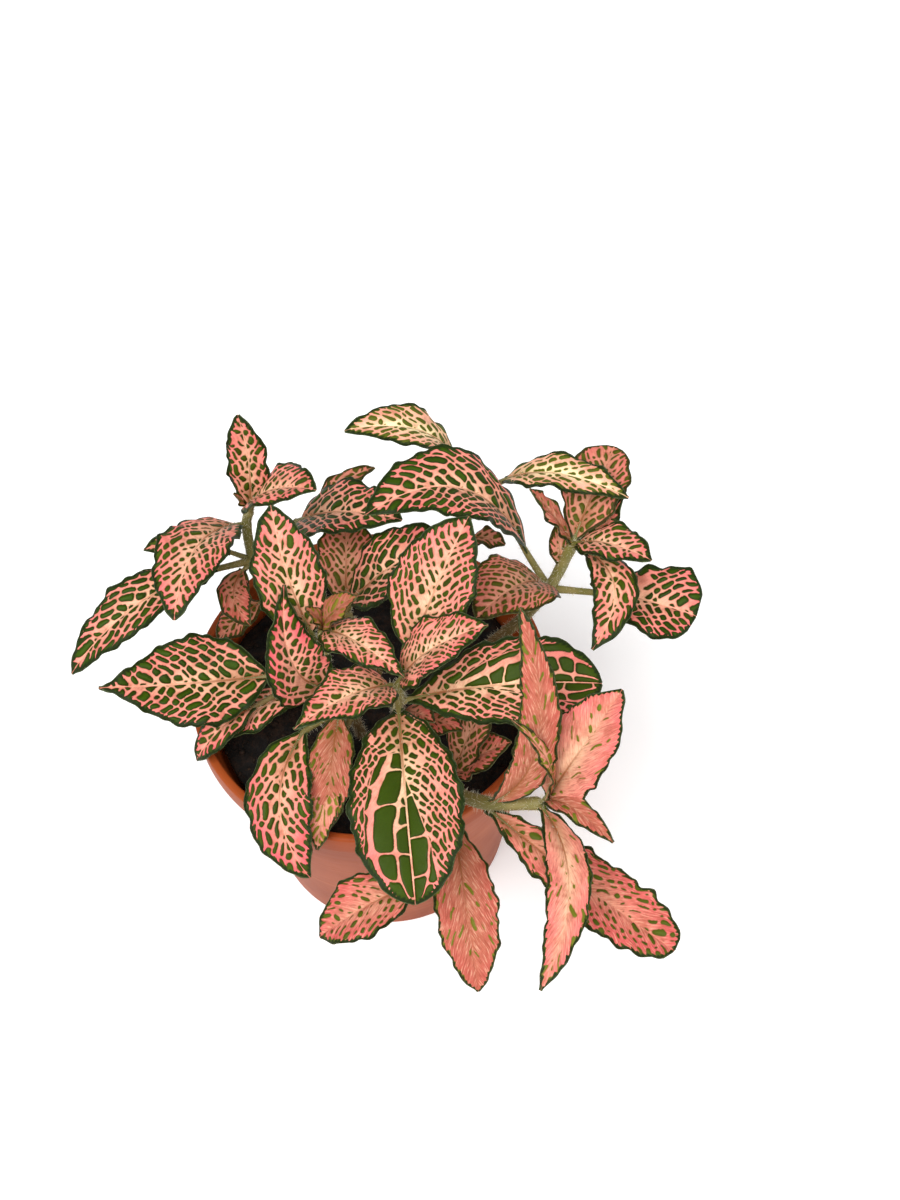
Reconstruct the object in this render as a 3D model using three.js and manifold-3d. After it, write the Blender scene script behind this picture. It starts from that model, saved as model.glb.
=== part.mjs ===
// A small potted nerve plant: a thin plastic nursery pot, its potting soil,
// and twelve leafy shoots. Millimetres, +Z up. The origin is the middle of the
// pot's flat bottom, and -Y is the side that the low front leaves hang over.

import * as THREE from 'three';
import { mergeVertices } from 'three/addons/utils/BufferGeometryUtils.js';
import Module from 'manifold-3d';

const wasm = await Module();
wasm.setup();

// Pot
const RIM_RADIUS = 30;
const POT_HEIGHT = 52;
const RIM_BAND = 4.5;
const RIM_STEP = 1.3;
const FOOT_RADIUS = 21.5;
const WALL = 1.2;
const FLOOR = 1.5;
const LIP_ROUND = 0.5;
const FOOT_ROUND = 0.6;
const BAND_SLOPE = 0.3;
const DRAIN_HOLES = 6;
const DRAIN_RADIUS = 2.2;
const DRAIN_CIRCLE = 14;
const POT_SIDES = 36;
const DRILL_SIDES = 10;

// Soil
const SOIL_TOP = 45;
const SOIL_DOME = 1.2;
const SOIL_LUMP = 0.5;
const SOIL_RINGS = 5;
const SOIL_SIDES = 24;
const SOIL_FOOT_INSET = 1;
const GAP = 0.35;

// Leaves and stems
const BLADE = 0.7;
const STALK_RADIUS = 0.55;
const STALK_SIDES = 5;
const STALK_STEPS = 2;
const STALK_INTO_BLADE = 0.05;
const STEM_SIDES = 6;
const STEPS_PER_JOINT = 2;
const BASE_HALF_WIDTH = 0.75;
const TIP_HALF_WIDTH = 0.35;
const BLADE_COLUMNS = [-1, -0.5, 0, 0.5, 1];
const NARROW_COLUMNS = [-1, 0, 1];
const NARROW_LEAF = 4.6;
const SHORT_LEAF = 9;
const MIDDLE_LEAF = 16;
const EDGE_WAVES = 2.5;
const WAVE_SHIFT = 1.3;

const SEED = 7;
const MERGE = 1e-4;

// What a leaf has where its row gives nothing else. Angles are in degrees.
// `fold` lifts both halves of the blade off the midrib, `wave` is the height
// of the waved edge, `widest` is where along the midrib the blade is widest,
// and a smaller `blunt` gives a blunter tip. `swing` turns the stalk.
const LEAF = {
  arch: 2, bow: 0, roll: 0, swing: 0, fold: 12, wave: 0.5, widest: 0.48, blunt: 0.8,
};

// Each shoot: its stem's points from root to tip, its radius, and its leaves.
// A leaf grows at the stem point `at`, its midrib pointing to `heading` round
// the pot and up by `rise`, with a stalk, a length and a width.
const SHOOTS = [
  {
    name: 'shoot_back_left',
    radius: 0.9,
    path: [[-10, 11, 40], [-12, 14, 50], [-15, 17, 58], [-16, 18, 66], [-16, 21, 72], [-15, 21, 76]],
    leaves: [
      { at: 5, heading: 75, rise: 78, stalk: 1, length: 19, width: 6.8, arch: 0, bow: -0.8, blunt: 0.65 },
      { at: 5, heading: -38, rise: 43, stalk: 1.5, length: 19, width: 10 },
      { at: 4.8, heading: 170, rise: 70, stalk: 0.5, length: 5, width: 2, arch: 0.3 },
      { at: 4, heading: -116, rise: 19, stalk: 2.5, length: 26, width: 11.5, arch: 3.6, bow: -2 },
      { at: 3, heading: 173, rise: 8, stalk: 4.5, length: 14, width: 5.5 },
      { at: 3, heading: -151, rise: -6, stalk: 8, length: 28.5, width: 9.5, arch: 5 },
      { at: 3, heading: -90, rise: 0, stalk: 3, length: 11, width: 5.5, arch: 1, bow: -2 },
      { at: 1.8, heading: -150, rise: -15, stalk: 2, length: 9.5, width: 6, arch: 1 },
    ],
  },
  {
    name: 'shoot_middle',
    radius: 0.9,
    path: [[-5, -3, 40], [-6, -5, 52], [-7, -6, 62], [-6.5, -5.5, 70], [-6, -5.5, 78]],
    leaves: [
      { at: 4, heading: 3, rise: 49, stalk: 0.5, length: 9, width: 5, arch: 1 },
      { at: 4, heading: 166, rise: 70, stalk: 0.5, length: 6, width: 3, arch: 0.5 },
      {
        at: 4, heading: -54, rise: 20, stalk: 1.5, length: 19, width: 8, arch: 2,
        widest: 0.38, blunt: 1.05,
      },
      { at: 3, heading: 103, rise: 55, stalk: 6, length: 22, width: 11, bow: 1 },
      { at: 2, heading: 123, rise: 76, stalk: 1, length: 24, width: 11, bow: 4.4, widest: 0.36, blunt: 1.1 },
    ],
  },
  {
    name: 'shoot_crown',
    radius: 1.0,
    path: [[5, -9, 40], [5, -12, 52], [4, -15, 62], [3.7, -17, 71], [4, -17.8, 78.5]],
    leaves: [
      { at: 4, heading: -148, rise: 24, stalk: 2, length: 19, width: 9.6, widest: 0.34, blunt: 1.1 },
      { at: 4, heading: -6, rise: 45, stalk: 2, length: 19, width: 10, widest: 0.42 },
      {
        at: 3.5, heading: -94, rise: -5, stalk: 3, length: 31, width: 17, arch: 3,
        widest: 0.56, blunt: 0.6,
      },
      {
        at: 3.2, heading: -11, rise: 10, stalk: 2, length: 30, width: 14.5, arch: 3, roll: 10,
        widest: 0.62, blunt: 0.6,
      },
      { at: 3.5, heading: 43, rise: 50, stalk: 8, length: 24, width: 14, arch: 1 },
      { at: 2.5, heading: -49, rise: 34, stalk: 2, length: 8, width: 4.5, arch: 1 },
      { at: 2.2, heading: -33, rise: 16, stalk: 3, length: 9, width: 5, arch: 1 },
    ],
  },
  {
    name: 'shoot_back',
    radius: 0.8,
    path: [[-5, 15, 40], [-6, 19, 52], [-7, 22.5, 60], [-8, 25, 65]],
    leaves: [
      { at: 3, heading: -35, rise: 30, stalk: 1.5, length: 23, width: 12.5, widest: 0.38 },
      { at: 2.7, heading: 25, rise: 12, stalk: 4, length: 13, width: 4 },
    ],
  },
  {
    name: 'shoot_inner_back',
    radius: 0.8,
    path: [[3, 3, 40], [1, 5, 50], [-1, 6, 58], [-2, 8, 62]],
    leaves: [
      { at: 3, heading: 80, rise: 20, stalk: 1, length: 16, width: 9.5, arch: 1 },
      { at: 3, heading: 2, rise: 38, stalk: 2, length: 22, width: 12.5 },
    ],
  },
  {
    name: 'shoot_right',
    radius: 1.0,
    path: [[17, 5, 40], [21, 4, 50], [27, 2.5, 60], [31, 2, 68], [35, 3, 78]],
    leaves: [
      { at: 3, heading: -179, rise: 35, stalk: 8, length: 30, width: 14, arch: 5.3, bow: -5, swing: 10 },
      {
        at: 4, heading: 55, rise: 18, stalk: 1, length: 16.5, width: 10, arch: 1,
        widest: 0.58, blunt: 0.55,
      },
      { at: 4, heading: 160, rise: 63, stalk: 1, length: 14, width: 4, arch: 0.3 },
      { at: 3.5, heading: 90, rise: 62, stalk: 1, length: 7, width: 3.5, arch: 0.5 },
      { at: 4, heading: -50, rise: 30, stalk: 2, length: 16, width: 7.5, arch: 1.5 },
      { at: 4, heading: 26, rise: 27, stalk: 1, length: 10, width: 3.5, arch: -2 },
      { at: 4, heading: -98, rise: 4, stalk: 3, length: 19, width: 7, bow: 4 },
      {
        at: 3, heading: -32, rise: 8, stalk: 9, length: 16.5, width: 14, arch: 1,
        widest: 0.72, blunt: 0.35,
      },
      { at: 3, heading: -142, rise: 29, stalk: 2.5, length: 18, width: 13, arch: 3 },
    ],
  },
  {
    name: 'shoot_front_right',
    radius: 1.1,
    path: [[7, -15, 40], [7.5, -20.5, 50], [9.5, -26.5, 59], [15, -32.5, 64], [23, -36, 68]],
    leaves: [
      { at: 3, heading: 63, rise: 63, stalk: 1.5, length: 35, width: 6.4, arch: 5, bow: -6.5 },
      { at: 4, heading: 28, rise: 51, stalk: 2, length: 22, width: 11.5, bow: -1 },
      { at: 4, heading: 148, rise: 77, stalk: 1, length: 22, width: 3, arch: 3, roll: 5 },
      { at: 4, heading: -56, rise: 26, stalk: 1, length: 15.5, width: 4, arch: 3 },
      { at: 3.9, heading: -101, rise: 5, stalk: 1.5, length: 30, width: 6.5, arch: 3, bow: 4 },
      {
        at: 2.8, heading: -49, rise: -4, stalk: 1.5, length: 36, width: 10.5, arch: -1,
        widest: 0.68, blunt: 0.4,
      },
      { at: 2, heading: -91, rise: -22, stalk: 6, length: 26, width: 9.6, arch: 3, widest: 0.52 },
    ],
  },
  {
    name: 'shoot_back_right',
    radius: 0.9,
    path: [[13, 14, 40], [16, 17, 52], [20, 19.5, 64], [21.5, 21, 74]],
    leaves: [
      { at: 3, heading: 180, rise: 33, stalk: 8, length: 20, width: 8.5, arch: 4 },
      { at: 2.7, heading: -33, rise: 16, stalk: 10, length: 22, width: 7.2, arch: 3.6 },
      { at: 1.7, heading: -30, rise: 10, stalk: 3, length: 6, width: 4, arch: 1 },
    ],
  },
  {
    name: 'shoot_left',
    radius: 0.9,
    path: [[-9, 2, 40], [-10, 0, 50], [-11.5, -1.5, 58], [-12, -2, 61]],
    leaves: [
      {
        at: 3, heading: -178, rise: 13, stalk: 4, length: 27.5, width: 15.5, arch: -1.5, roll: -20,
        widest: 0.4, blunt: 1.3,
      },
      { at: 1.6, heading: -153, rise: -5, stalk: 2, length: 13.5, width: 7, arch: 1 },
      { at: 1.8, heading: -154, rise: -24, stalk: 9, length: 13, width: 6 },
    ],
  },
  {
    name: 'shoot_front_left',
    radius: 0.9,
    path: [[-2, -6, 40], [-3, -8, 50], [-3.5, -9, 58], [-3.5, -9.5, 61]],
    leaves: [
      {
        at: 3, heading: -97, rise: -25, stalk: 9, length: 23, width: 10.5, arch: 3,
        bow: -4, swing: -26,
      },
      { at: 3, heading: -106, rise: -26, stalk: 3, length: 18, width: 7.5, arch: 3, swing: -32 },
      { at: 2, heading: -113, rise: -22, stalk: 8, length: 16, width: 5 },
    ],
  },
  {
    name: 'shoot_inner_right',
    radius: 0.8,
    path: [[14, -9, 40], [13, -15.5, 46], [11.5, -19.5, 50], [11, -21.5, 53.5]],
    leaves: [
      { at: 3, heading: 33, rise: 60, stalk: 1, length: 18, width: 7, arch: 1 },
      { at: 3, heading: -6, rise: 46, stalk: 1, length: 13, width: 7, arch: 1 },
    ],
  },
  {
    name: 'shoot_front',
    radius: 0.9,
    path: [[3, -18, 40], [4, -22, 48], [6.5, -27, 53], [8, -32.3, 54]],
    leaves: [
      { at: 3, heading: -165, rise: -14, stalk: 10, length: 16.5, width: 10.5, arch: 1.5, swing: 35 },
    ],
  },
];

const terracotta = new THREE.MeshStandardMaterial({ color: 0xa65a2a, roughness: 0.45, metalness: 0 });
const peat = new THREE.MeshStandardMaterial({ color: 0x2a1d14, roughness: 1, metalness: 0 });
const leafPink = new THREE.MeshStandardMaterial({ color: 0xd9857c, roughness: 0.5, metalness: 0 });

function random(seed) {
  let state = seed;
  return () => {
    state = (state * 16807) % 2147483647;
    return state / 2147483647;
  };
}

// Solids
function solidOf(geometry) {
  const bare = geometry.clone();
  bare.deleteAttribute('normal');
  bare.deleteAttribute('uv');
  const merged = mergeVertices(bare, MERGE);
  const corners = Array.from(merged.index.array);
  const triVerts = [];
  for (let i = 0; i < corners.length; i += 3) {
    const [a, b, c] = corners.slice(i, i + 3);
    if (a !== b && b !== c && c !== a) triVerts.push(a, b, c);
  }
  return new wasm.Manifold(new wasm.Mesh({
    numProp: 3,
    vertProperties: new Float32Array(merged.attributes.position.array),
    triVerts: new Uint32Array(triVerts),
  }));
}

function meshOf(solid, name, material) {
  const { vertProperties, triVerts } = solid.getMesh();
  const geometry = new THREE.BufferGeometry();
  geometry.setAttribute('position', new THREE.BufferAttribute(vertProperties, 3));
  geometry.setIndex(new THREE.BufferAttribute(triVerts, 1));
  geometry.computeVertexNormals();
  const mesh = new THREE.Mesh(geometry, material);
  mesh.name = name;
  return mesh;
}

function turned(profile, sides) {
  const points = profile.map(([radius, height]) => new THREE.Vector2(radius, height));
  return new THREE.LatheGeometry(points, sides).rotateX(Math.PI / 2);
}

function tube(points, radius, sides, steps) {
  const section = new THREE.Shape();
  for (let i = 0; i < sides; i += 1) {
    const angle = (i / sides) * 2 * Math.PI;
    const [x, y] = [radius * Math.cos(angle), radius * Math.sin(angle)];
    if (i === 0) section.moveTo(x, y);
    else section.lineTo(x, y);
  }
  section.closePath();
  const extrudePath = new THREE.CatmullRomCurve3(points);
  return solidOf(new THREE.ExtrudeGeometry(section, { extrudePath, steps, bevelEnabled: false }));
}

// Pot and soil
function pot() {
  const band = POT_HEIGHT - RIM_BAND;
  const wallTop = RIM_RADIUS - RIM_STEP;
  const mouth = RIM_RADIUS - WALL - BAND_SLOPE;
  const profile = [
    [0, 0],
    [FOOT_RADIUS - FOOT_ROUND, 0],
    [FOOT_RADIUS, FOOT_ROUND],
    [wallTop, band],
    [RIM_RADIUS, band + BAND_SLOPE],
    [RIM_RADIUS, POT_HEIGHT - LIP_ROUND],
    [RIM_RADIUS - LIP_ROUND, POT_HEIGHT],
    [mouth + LIP_ROUND, POT_HEIGHT],
    [mouth, POT_HEIGHT - LIP_ROUND],
    [wallTop - WALL, band - WALL],
    [FOOT_RADIUS - WALL, FLOOR],
    [0, FLOOR],
  ];
  let solid = solidOf(turned(profile, POT_SIDES));
  for (let i = 0; i < DRAIN_HOLES; i += 1) {
    const angle = (i / DRAIN_HOLES) * 2 * Math.PI;
    const drill = new THREE.CylinderGeometry(DRAIN_RADIUS, DRAIN_RADIUS, FLOOR * 3, DRILL_SIDES)
      .rotateX(Math.PI / 2)
      .translate(DRAIN_CIRCLE * Math.cos(angle), DRAIN_CIRCLE * Math.sin(angle), FLOOR / 2);
    solid = solid.subtract(solidOf(drill));
  }
  return solid;
}

function soil() {
  const wallSlope = (RIM_RADIUS - RIM_STEP - FOOT_RADIUS) / (POT_HEIGHT - RIM_BAND);
  const bottom = FLOOR + GAP;
  const innerRadius = (height) => FOOT_RADIUS + wallSlope * height - WALL - 2 * GAP;
  const foot = [innerRadius(bottom) - SOIL_FOOT_INSET, bottom];
  const profile = [[0, bottom], foot, [innerRadius(SOIL_TOP), SOIL_TOP]];
  for (let i = SOIL_RINGS; i >= 0; i -= 1) {
    const share = i / (SOIL_RINGS + 1);
    profile.push([innerRadius(SOIL_TOP) * share, SOIL_TOP + SOIL_DOME * (1 - share * share)]);
  }
  const geometry = turned(profile, SOIL_SIDES);
  geometry.deleteAttribute('normal');
  geometry.deleteAttribute('uv');
  const merged = mergeVertices(geometry, MERGE);
  const { position } = merged.attributes;
  const draw = random(SEED);
  for (let i = 0; i < position.count; i += 1) {
    const lump = SOIL_LUMP * (2 * draw() - 1);
    if (position.getZ(i) > SOIL_TOP + MERGE) position.setZ(i, position.getZ(i) + lump);
  }
  let solid = solidOf(merged);
  for (const shoot of SHOOTS) {
    const points = vectors(shoot.path);
    const below = -GAP / points[0].distanceTo(points[1]);
    points.unshift(points[0].clone().lerp(points[1], below));
    const steps = STEPS_PER_JOINT * (points.length - 1);
    solid = solid.subtract(tube(points, shoot.radius + GAP, STEM_SIDES, steps));
  }
  return solid;
}

// Shoots
function vectors(points) {
  return points.map(([x, y, z]) => new THREE.Vector3(x, y, z));
}

// The leaf's own axes: along its chord, across it, and out of its upper face.
function axesOf(leaf) {
  const heading = THREE.MathUtils.degToRad(leaf.heading);
  const rise = THREE.MathUtils.degToRad(leaf.rise);
  const along = new THREE.Vector3(
    Math.cos(heading) * Math.cos(rise),
    Math.sin(heading) * Math.cos(rise),
    Math.sin(rise),
  );
  const across = new THREE.Vector3(-Math.sin(heading), Math.cos(heading), 0);
  across.applyAxisAngle(along, THREE.MathUtils.degToRad(leaf.roll));
  return { along, across, out: along.clone().cross(across) };
}

function tangentAt(leaf, axes, t) {
  const lean = 4 * (1 - 2 * t);
  return axes.along.clone().multiplyScalar(leaf.length)
    .addScaledVector(axes.out, leaf.arch * lean)
    .addScaledVector(axes.across, leaf.bow * lean)
    .normalize();
}

function midribAt(leaf, axes, base, t) {
  const lift = 4 * t * (1 - t);
  return base.clone()
    .addScaledVector(axes.along, leaf.length * t)
    .addScaledVector(axes.out, leaf.arch * lift)
    .addScaledVector(axes.across, leaf.bow * lift);
}

function halfWidthAt(leaf, t) {
  const near = (leaf.blunt * leaf.widest) / (1 - leaf.widest);
  const top = leaf.widest ** near * (1 - leaf.widest) ** leaf.blunt;
  const half = (0.5 * leaf.width * t ** near * (1 - t) ** leaf.blunt) / top;
  const least = THREE.MathUtils.lerp(BASE_HALF_WIDTH, TIP_HALF_WIDTH, t);
  return Math.max(half, Math.min(least, 0.25 * leaf.width));
}

// A point of the blade's middle surface, t along the midrib and u from edge to edge.
function bladePoint(leaf, axes, base, t, u) {
  const tangent = tangentAt(leaf, axes, t);
  const side = axes.across.clone()
    .addScaledVector(tangent, -axes.across.dot(tangent))
    .normalize();
  const out = tangent.clone().cross(side);
  const reach = Math.abs(u) * halfWidthAt(leaf, t);
  const fold = THREE.MathUtils.degToRad(leaf.fold);
  const phase = 2 * Math.PI * EDGE_WAVES * t + (u > 0 ? WAVE_SHIFT : 0);
  const ruffle = leaf.wave * Math.abs(u) ** 3 * Math.sin(phase) * Math.sin(Math.PI * t);
  return midribAt(leaf, axes, base, t)
    .addScaledVector(side, Math.sign(u) * reach * Math.cos(fold))
    .addScaledVector(out, reach * Math.sin(fold) + ruffle);
}

function bladeRows(leaf) {
  if (leaf.length < SHORT_LEAF) return 4;
  return leaf.length < MIDDLE_LEAF ? 6 : 8;
}

// The blade: two like grids, half a thickness above and below its middle surface.
function blade(leaf, axes, base) {
  const rows = bladeRows(leaf);
  const columns = leaf.width < NARROW_LEAF ? NARROW_COLUMNS : BLADE_COLUMNS;
  const wide = columns.length;
  const grid = [];
  for (let i = 0; i <= rows; i += 1) {
    grid.push(columns.map((u) => bladePoint(leaf, axes, base, i / rows, u)));
  }
  const top = [];
  const under = [];
  for (let i = 0; i <= rows; i += 1) {
    for (let j = 0; j < wide; j += 1) {
      const lengthwise = grid[Math.min(i + 1, rows)][j].clone().sub(grid[Math.max(i - 1, 0)][j]);
      const crosswise = grid[i][Math.min(j + 1, wide - 1)].clone().sub(grid[i][Math.max(j - 1, 0)]);
      const normal = lengthwise.cross(crosswise).normalize();
      top.push(...grid[i][j].clone().addScaledVector(normal, BLADE / 2).toArray());
      under.push(...grid[i][j].clone().addScaledVector(normal, -BLADE / 2).toArray());
    }
  }
  const count = (rows + 1) * wide;
  const faces = [];
  for (let i = 0; i < rows; i += 1) {
    for (let j = 0; j < wide - 1; j += 1) {
      const [a, b, c, d] = [i * wide + j, (i + 1) * wide + j, (i + 1) * wide + j + 1, i * wide + j + 1];
      faces.push(a, b, c, a, c, d);
      faces.push(count + a, count + c, count + b, count + a, count + d, count + c);
    }
  }
  const rim = [];
  for (let j = 0; j < wide - 1; j += 1) rim.push(j);
  for (let i = 0; i < rows; i += 1) rim.push(i * wide + wide - 1);
  for (let j = wide - 1; j > 0; j -= 1) rim.push(rows * wide + j);
  for (let i = rows; i > 0; i -= 1) rim.push(i * wide);
  rim.forEach((a, k) => {
    const b = rim[(k + 1) % rim.length];
    faces.push(a, b, count + b, a, count + b, count + a);
  });
  const geometry = new THREE.BufferGeometry();
  geometry.setAttribute('position', new THREE.Float32BufferAttribute([...top, ...under], 3));
  geometry.setIndex(faces);
  return solidOf(geometry);
}

function leafSolid(row, stem, joints) {
  const leaf = { ...LEAF, ...row };
  const axes = axesOf(leaf);
  const root = stem.getPoint(leaf.at / joints);
  const stalkWay = tangentAt(leaf, axes, 0)
    .applyAxisAngle(new THREE.Vector3(0, 0, 1), THREE.MathUtils.degToRad(leaf.swing));
  const base = root.clone().addScaledVector(stalkWay, leaf.stalk);
  const into = midribAt(leaf, axes, base, STALK_INTO_BLADE);
  const stalk = tube([root, base, into], STALK_RADIUS, STALK_SIDES, STALK_STEPS);
  return blade(leaf, axes, base).add(stalk);
}

function shootSolid(shoot) {
  const points = vectors(shoot.path);
  const stem = new THREE.CatmullRomCurve3(points);
  const joints = points.length - 1;
  let solid = tube(points, shoot.radius, STEM_SIDES, STEPS_PER_JOINT * joints);
  for (const row of shoot.leaves) solid = solid.add(leafSolid(row, stem, joints));
  return solid;
}

const plant = new THREE.Group();
plant.add(meshOf(pot(), 'pot', terracotta));
plant.add(meshOf(soil(), 'soil', peat));
for (const shoot of SHOOTS) plant.add(meshOf(shootSolid(shoot), shoot.name, leafPink));

export default plant;
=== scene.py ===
"""The looks of a small potted nerve plant: pot, soil, stems with their hairs, and veined leaves."""

from __future__ import annotations

import logging
import math
from collections.abc import Callable
from dataclasses import dataclass, field
from enum import Enum

import bpy
import numpy as np
from mathutils import Matrix

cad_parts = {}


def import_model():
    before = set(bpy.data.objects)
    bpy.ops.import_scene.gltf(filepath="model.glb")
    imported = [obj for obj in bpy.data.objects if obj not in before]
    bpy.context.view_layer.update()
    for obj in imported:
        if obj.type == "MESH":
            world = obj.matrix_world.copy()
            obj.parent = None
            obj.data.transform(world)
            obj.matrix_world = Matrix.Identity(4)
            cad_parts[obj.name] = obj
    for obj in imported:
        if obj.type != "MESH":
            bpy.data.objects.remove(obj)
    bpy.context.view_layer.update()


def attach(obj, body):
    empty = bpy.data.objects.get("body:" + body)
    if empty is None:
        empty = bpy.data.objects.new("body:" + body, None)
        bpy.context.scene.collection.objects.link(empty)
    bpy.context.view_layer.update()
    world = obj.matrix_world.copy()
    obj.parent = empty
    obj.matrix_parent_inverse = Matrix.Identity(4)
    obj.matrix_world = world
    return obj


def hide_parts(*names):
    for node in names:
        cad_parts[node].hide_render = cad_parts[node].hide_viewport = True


LOG = logging.getLogger("nerve_plant")
MM = 0.001
BODY = "root"

# The photograph's frame and where its camera stood
FRAME_WIDTH_PX = 900
FRAME_HEIGHT_PX = 1200
FOCAL_PX = 1903.0
SENSOR_MM = 36.0
CAMERA_DISTANCE_MM = 320.0
CAMERA_ELEVATION = 59.0
CAMERA_ROLL = -9.0
RIM_CENTRE_X_PX = 369.4
RIM_CENTRE_Y_PX = 679.3

# Pot and soil, in millimetres as in the part
RIM_RADIUS = 30.0
POT_HEIGHT = 52.0
RIM_BAND = 4.5
RIM_STEP = 1.3
FOOT_RADIUS = 21.5
WALL = 1.2
FLOOR = 1.5
LIP_ROUND = 0.5
FOOT_ROUND = 0.6
BAND_SLOPE = 0.3
DRAIN_HOLES = 6
DRAIN_RADIUS = 2.2
DRAIN_CIRCLE = 14.0
SOIL_TOP = 45.0
SOIL_DOME = 1.2
SOIL_GAP = 0.7


@dataclass(frozen=True)
class ToneValues:
    """What a tone means for the leaf's finish.

    `filled` is the share of the cells that are green and `vein` half the width of the net's veins.
    `cream` and `rose` tint the pink net, the umber value browns it, as bronze on buds and as painted
    shade on leaves that lie in shade, and `streak` lines it. `olive` yellows the green. `cell`,
    `stretch` and `margin` are the cells' width, their length in widths and the margin's width. Widths
    are in millimetres.
    """

    filled: float
    vein: float
    cream: float
    rose: float
    umber_and_shade: float
    streak: float
    olive: float
    cell: float
    stretch: float
    margin: float


class Tone(Enum):
    """How a leaf is coloured, by its age and kind; SHADED, and the browning of PURPLE, are painted shade
    for leaves that lie in shade.
    """

    MATURE = ToneValues(0.99, 0.07, 0.35, 0.35, 0.00, 0.25, 0.00, 1.16, 1.60, 0.66)
    GIANT = ToneValues(0.99, 0.08, 0.60, 0.30, 0.00, 0.25, 0.05, 0.90, 1.65, 0.75)
    BLUSH = ToneValues(0.98, 0.11, 0.40, 0.45, 0.00, 0.30, 0.12, 0.94, 1.60, 0.54)
    YOUNG = ToneValues(0.96, 0.09, 0.45, 0.50, 0.00, 0.30, 0.15, 0.70, 1.60, 0.42)
    CREAM = ToneValues(0.98, 0.09, 1.00, 0.20, 0.00, 0.25, 0.40, 0.88, 1.70, 0.54)
    ROSE = ToneValues(0.45, 0.26, 0.15, 0.85, 0.14, 1.00, 0.75, 0.96, 1.90, 0.36)
    PALE_ROSE = ToneValues(0.42, 0.25, 0.55, 0.45, 0.00, 0.72, 0.75, 0.92, 1.90, 0.38)
    CRIMSON = ToneValues(0.85, 0.19, 0.10, 0.90, 0.05, 0.84, 0.30, 0.98, 1.50, 0.48)
    HOT = ToneValues(0.98, 0.10, 0.15, 0.90, 0.00, 0.35, 0.10, 1.04, 1.55, 0.56)
    # Painted shade: SHADED darkens and browns leaves that lie in shade; PURPLE's browning is painted
    # shade over a real purple.
    SHADED = ToneValues(0.97, 0.10, 0.25, 0.30, 0.50, 0.40, 0.20, 0.84, 1.60, 0.44)
    PURPLE = ToneValues(0.85, 0.12, 0.10, 0.95, 0.40, 0.80, 0.10, 0.72, 1.50, 0.38)
    VELVET = ToneValues(0.65, 0.17, 0.35, 0.60, 0.20, 1.00, 0.50, 0.78, 1.60, 0.36)
    OLIVE = ToneValues(0.97, 0.10, 0.20, 0.10, 0.30, 0.60, 1.00, 0.80, 2.00, 0.30)
    BUD = ToneValues(0.70, 0.10, 0.10, 0.30, 0.75, 0.80, 1.00, 0.70, 2.00, 0.25)


class Coarse(Enum):
    """Which half of a leaf has the very large cells, seen from its base."""

    NONE = 0
    LEFT = 1
    RIGHT = -1


@dataclass(frozen=True)
class Leaf:
    """One leaf, in millimetres and degrees, with the same values as in the part.

    It grows at the stem point `at`, its midrib pointing to `heading` round the pot and up by
    `rise`, with a stalk, a length and a width.
    """

    at: float
    heading: float
    rise: float
    stalk: float
    length: float
    width: float
    tone: Tone
    arch: float = 2.0
    bow: float = 0.0
    roll: float = 0.0
    swing: float = 0.0
    fold: float = 12.0
    wave: float = 0.5
    widest: float = 0.48
    blunt: float = 0.8
    coarse: Coarse = Coarse.NONE
    coarse_cell: float = 3.3
    ragged: float = 0.0


@dataclass(frozen=True)
class Shoot:
    """One leafy shoot: the CAD node it stands for, its stem's radius and points, its leaves."""

    name: str
    radius: float
    path: tuple[tuple[float, float, float], ...]
    leaves: tuple[Leaf, ...]
    slot: str = "leaf_pink"


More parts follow.
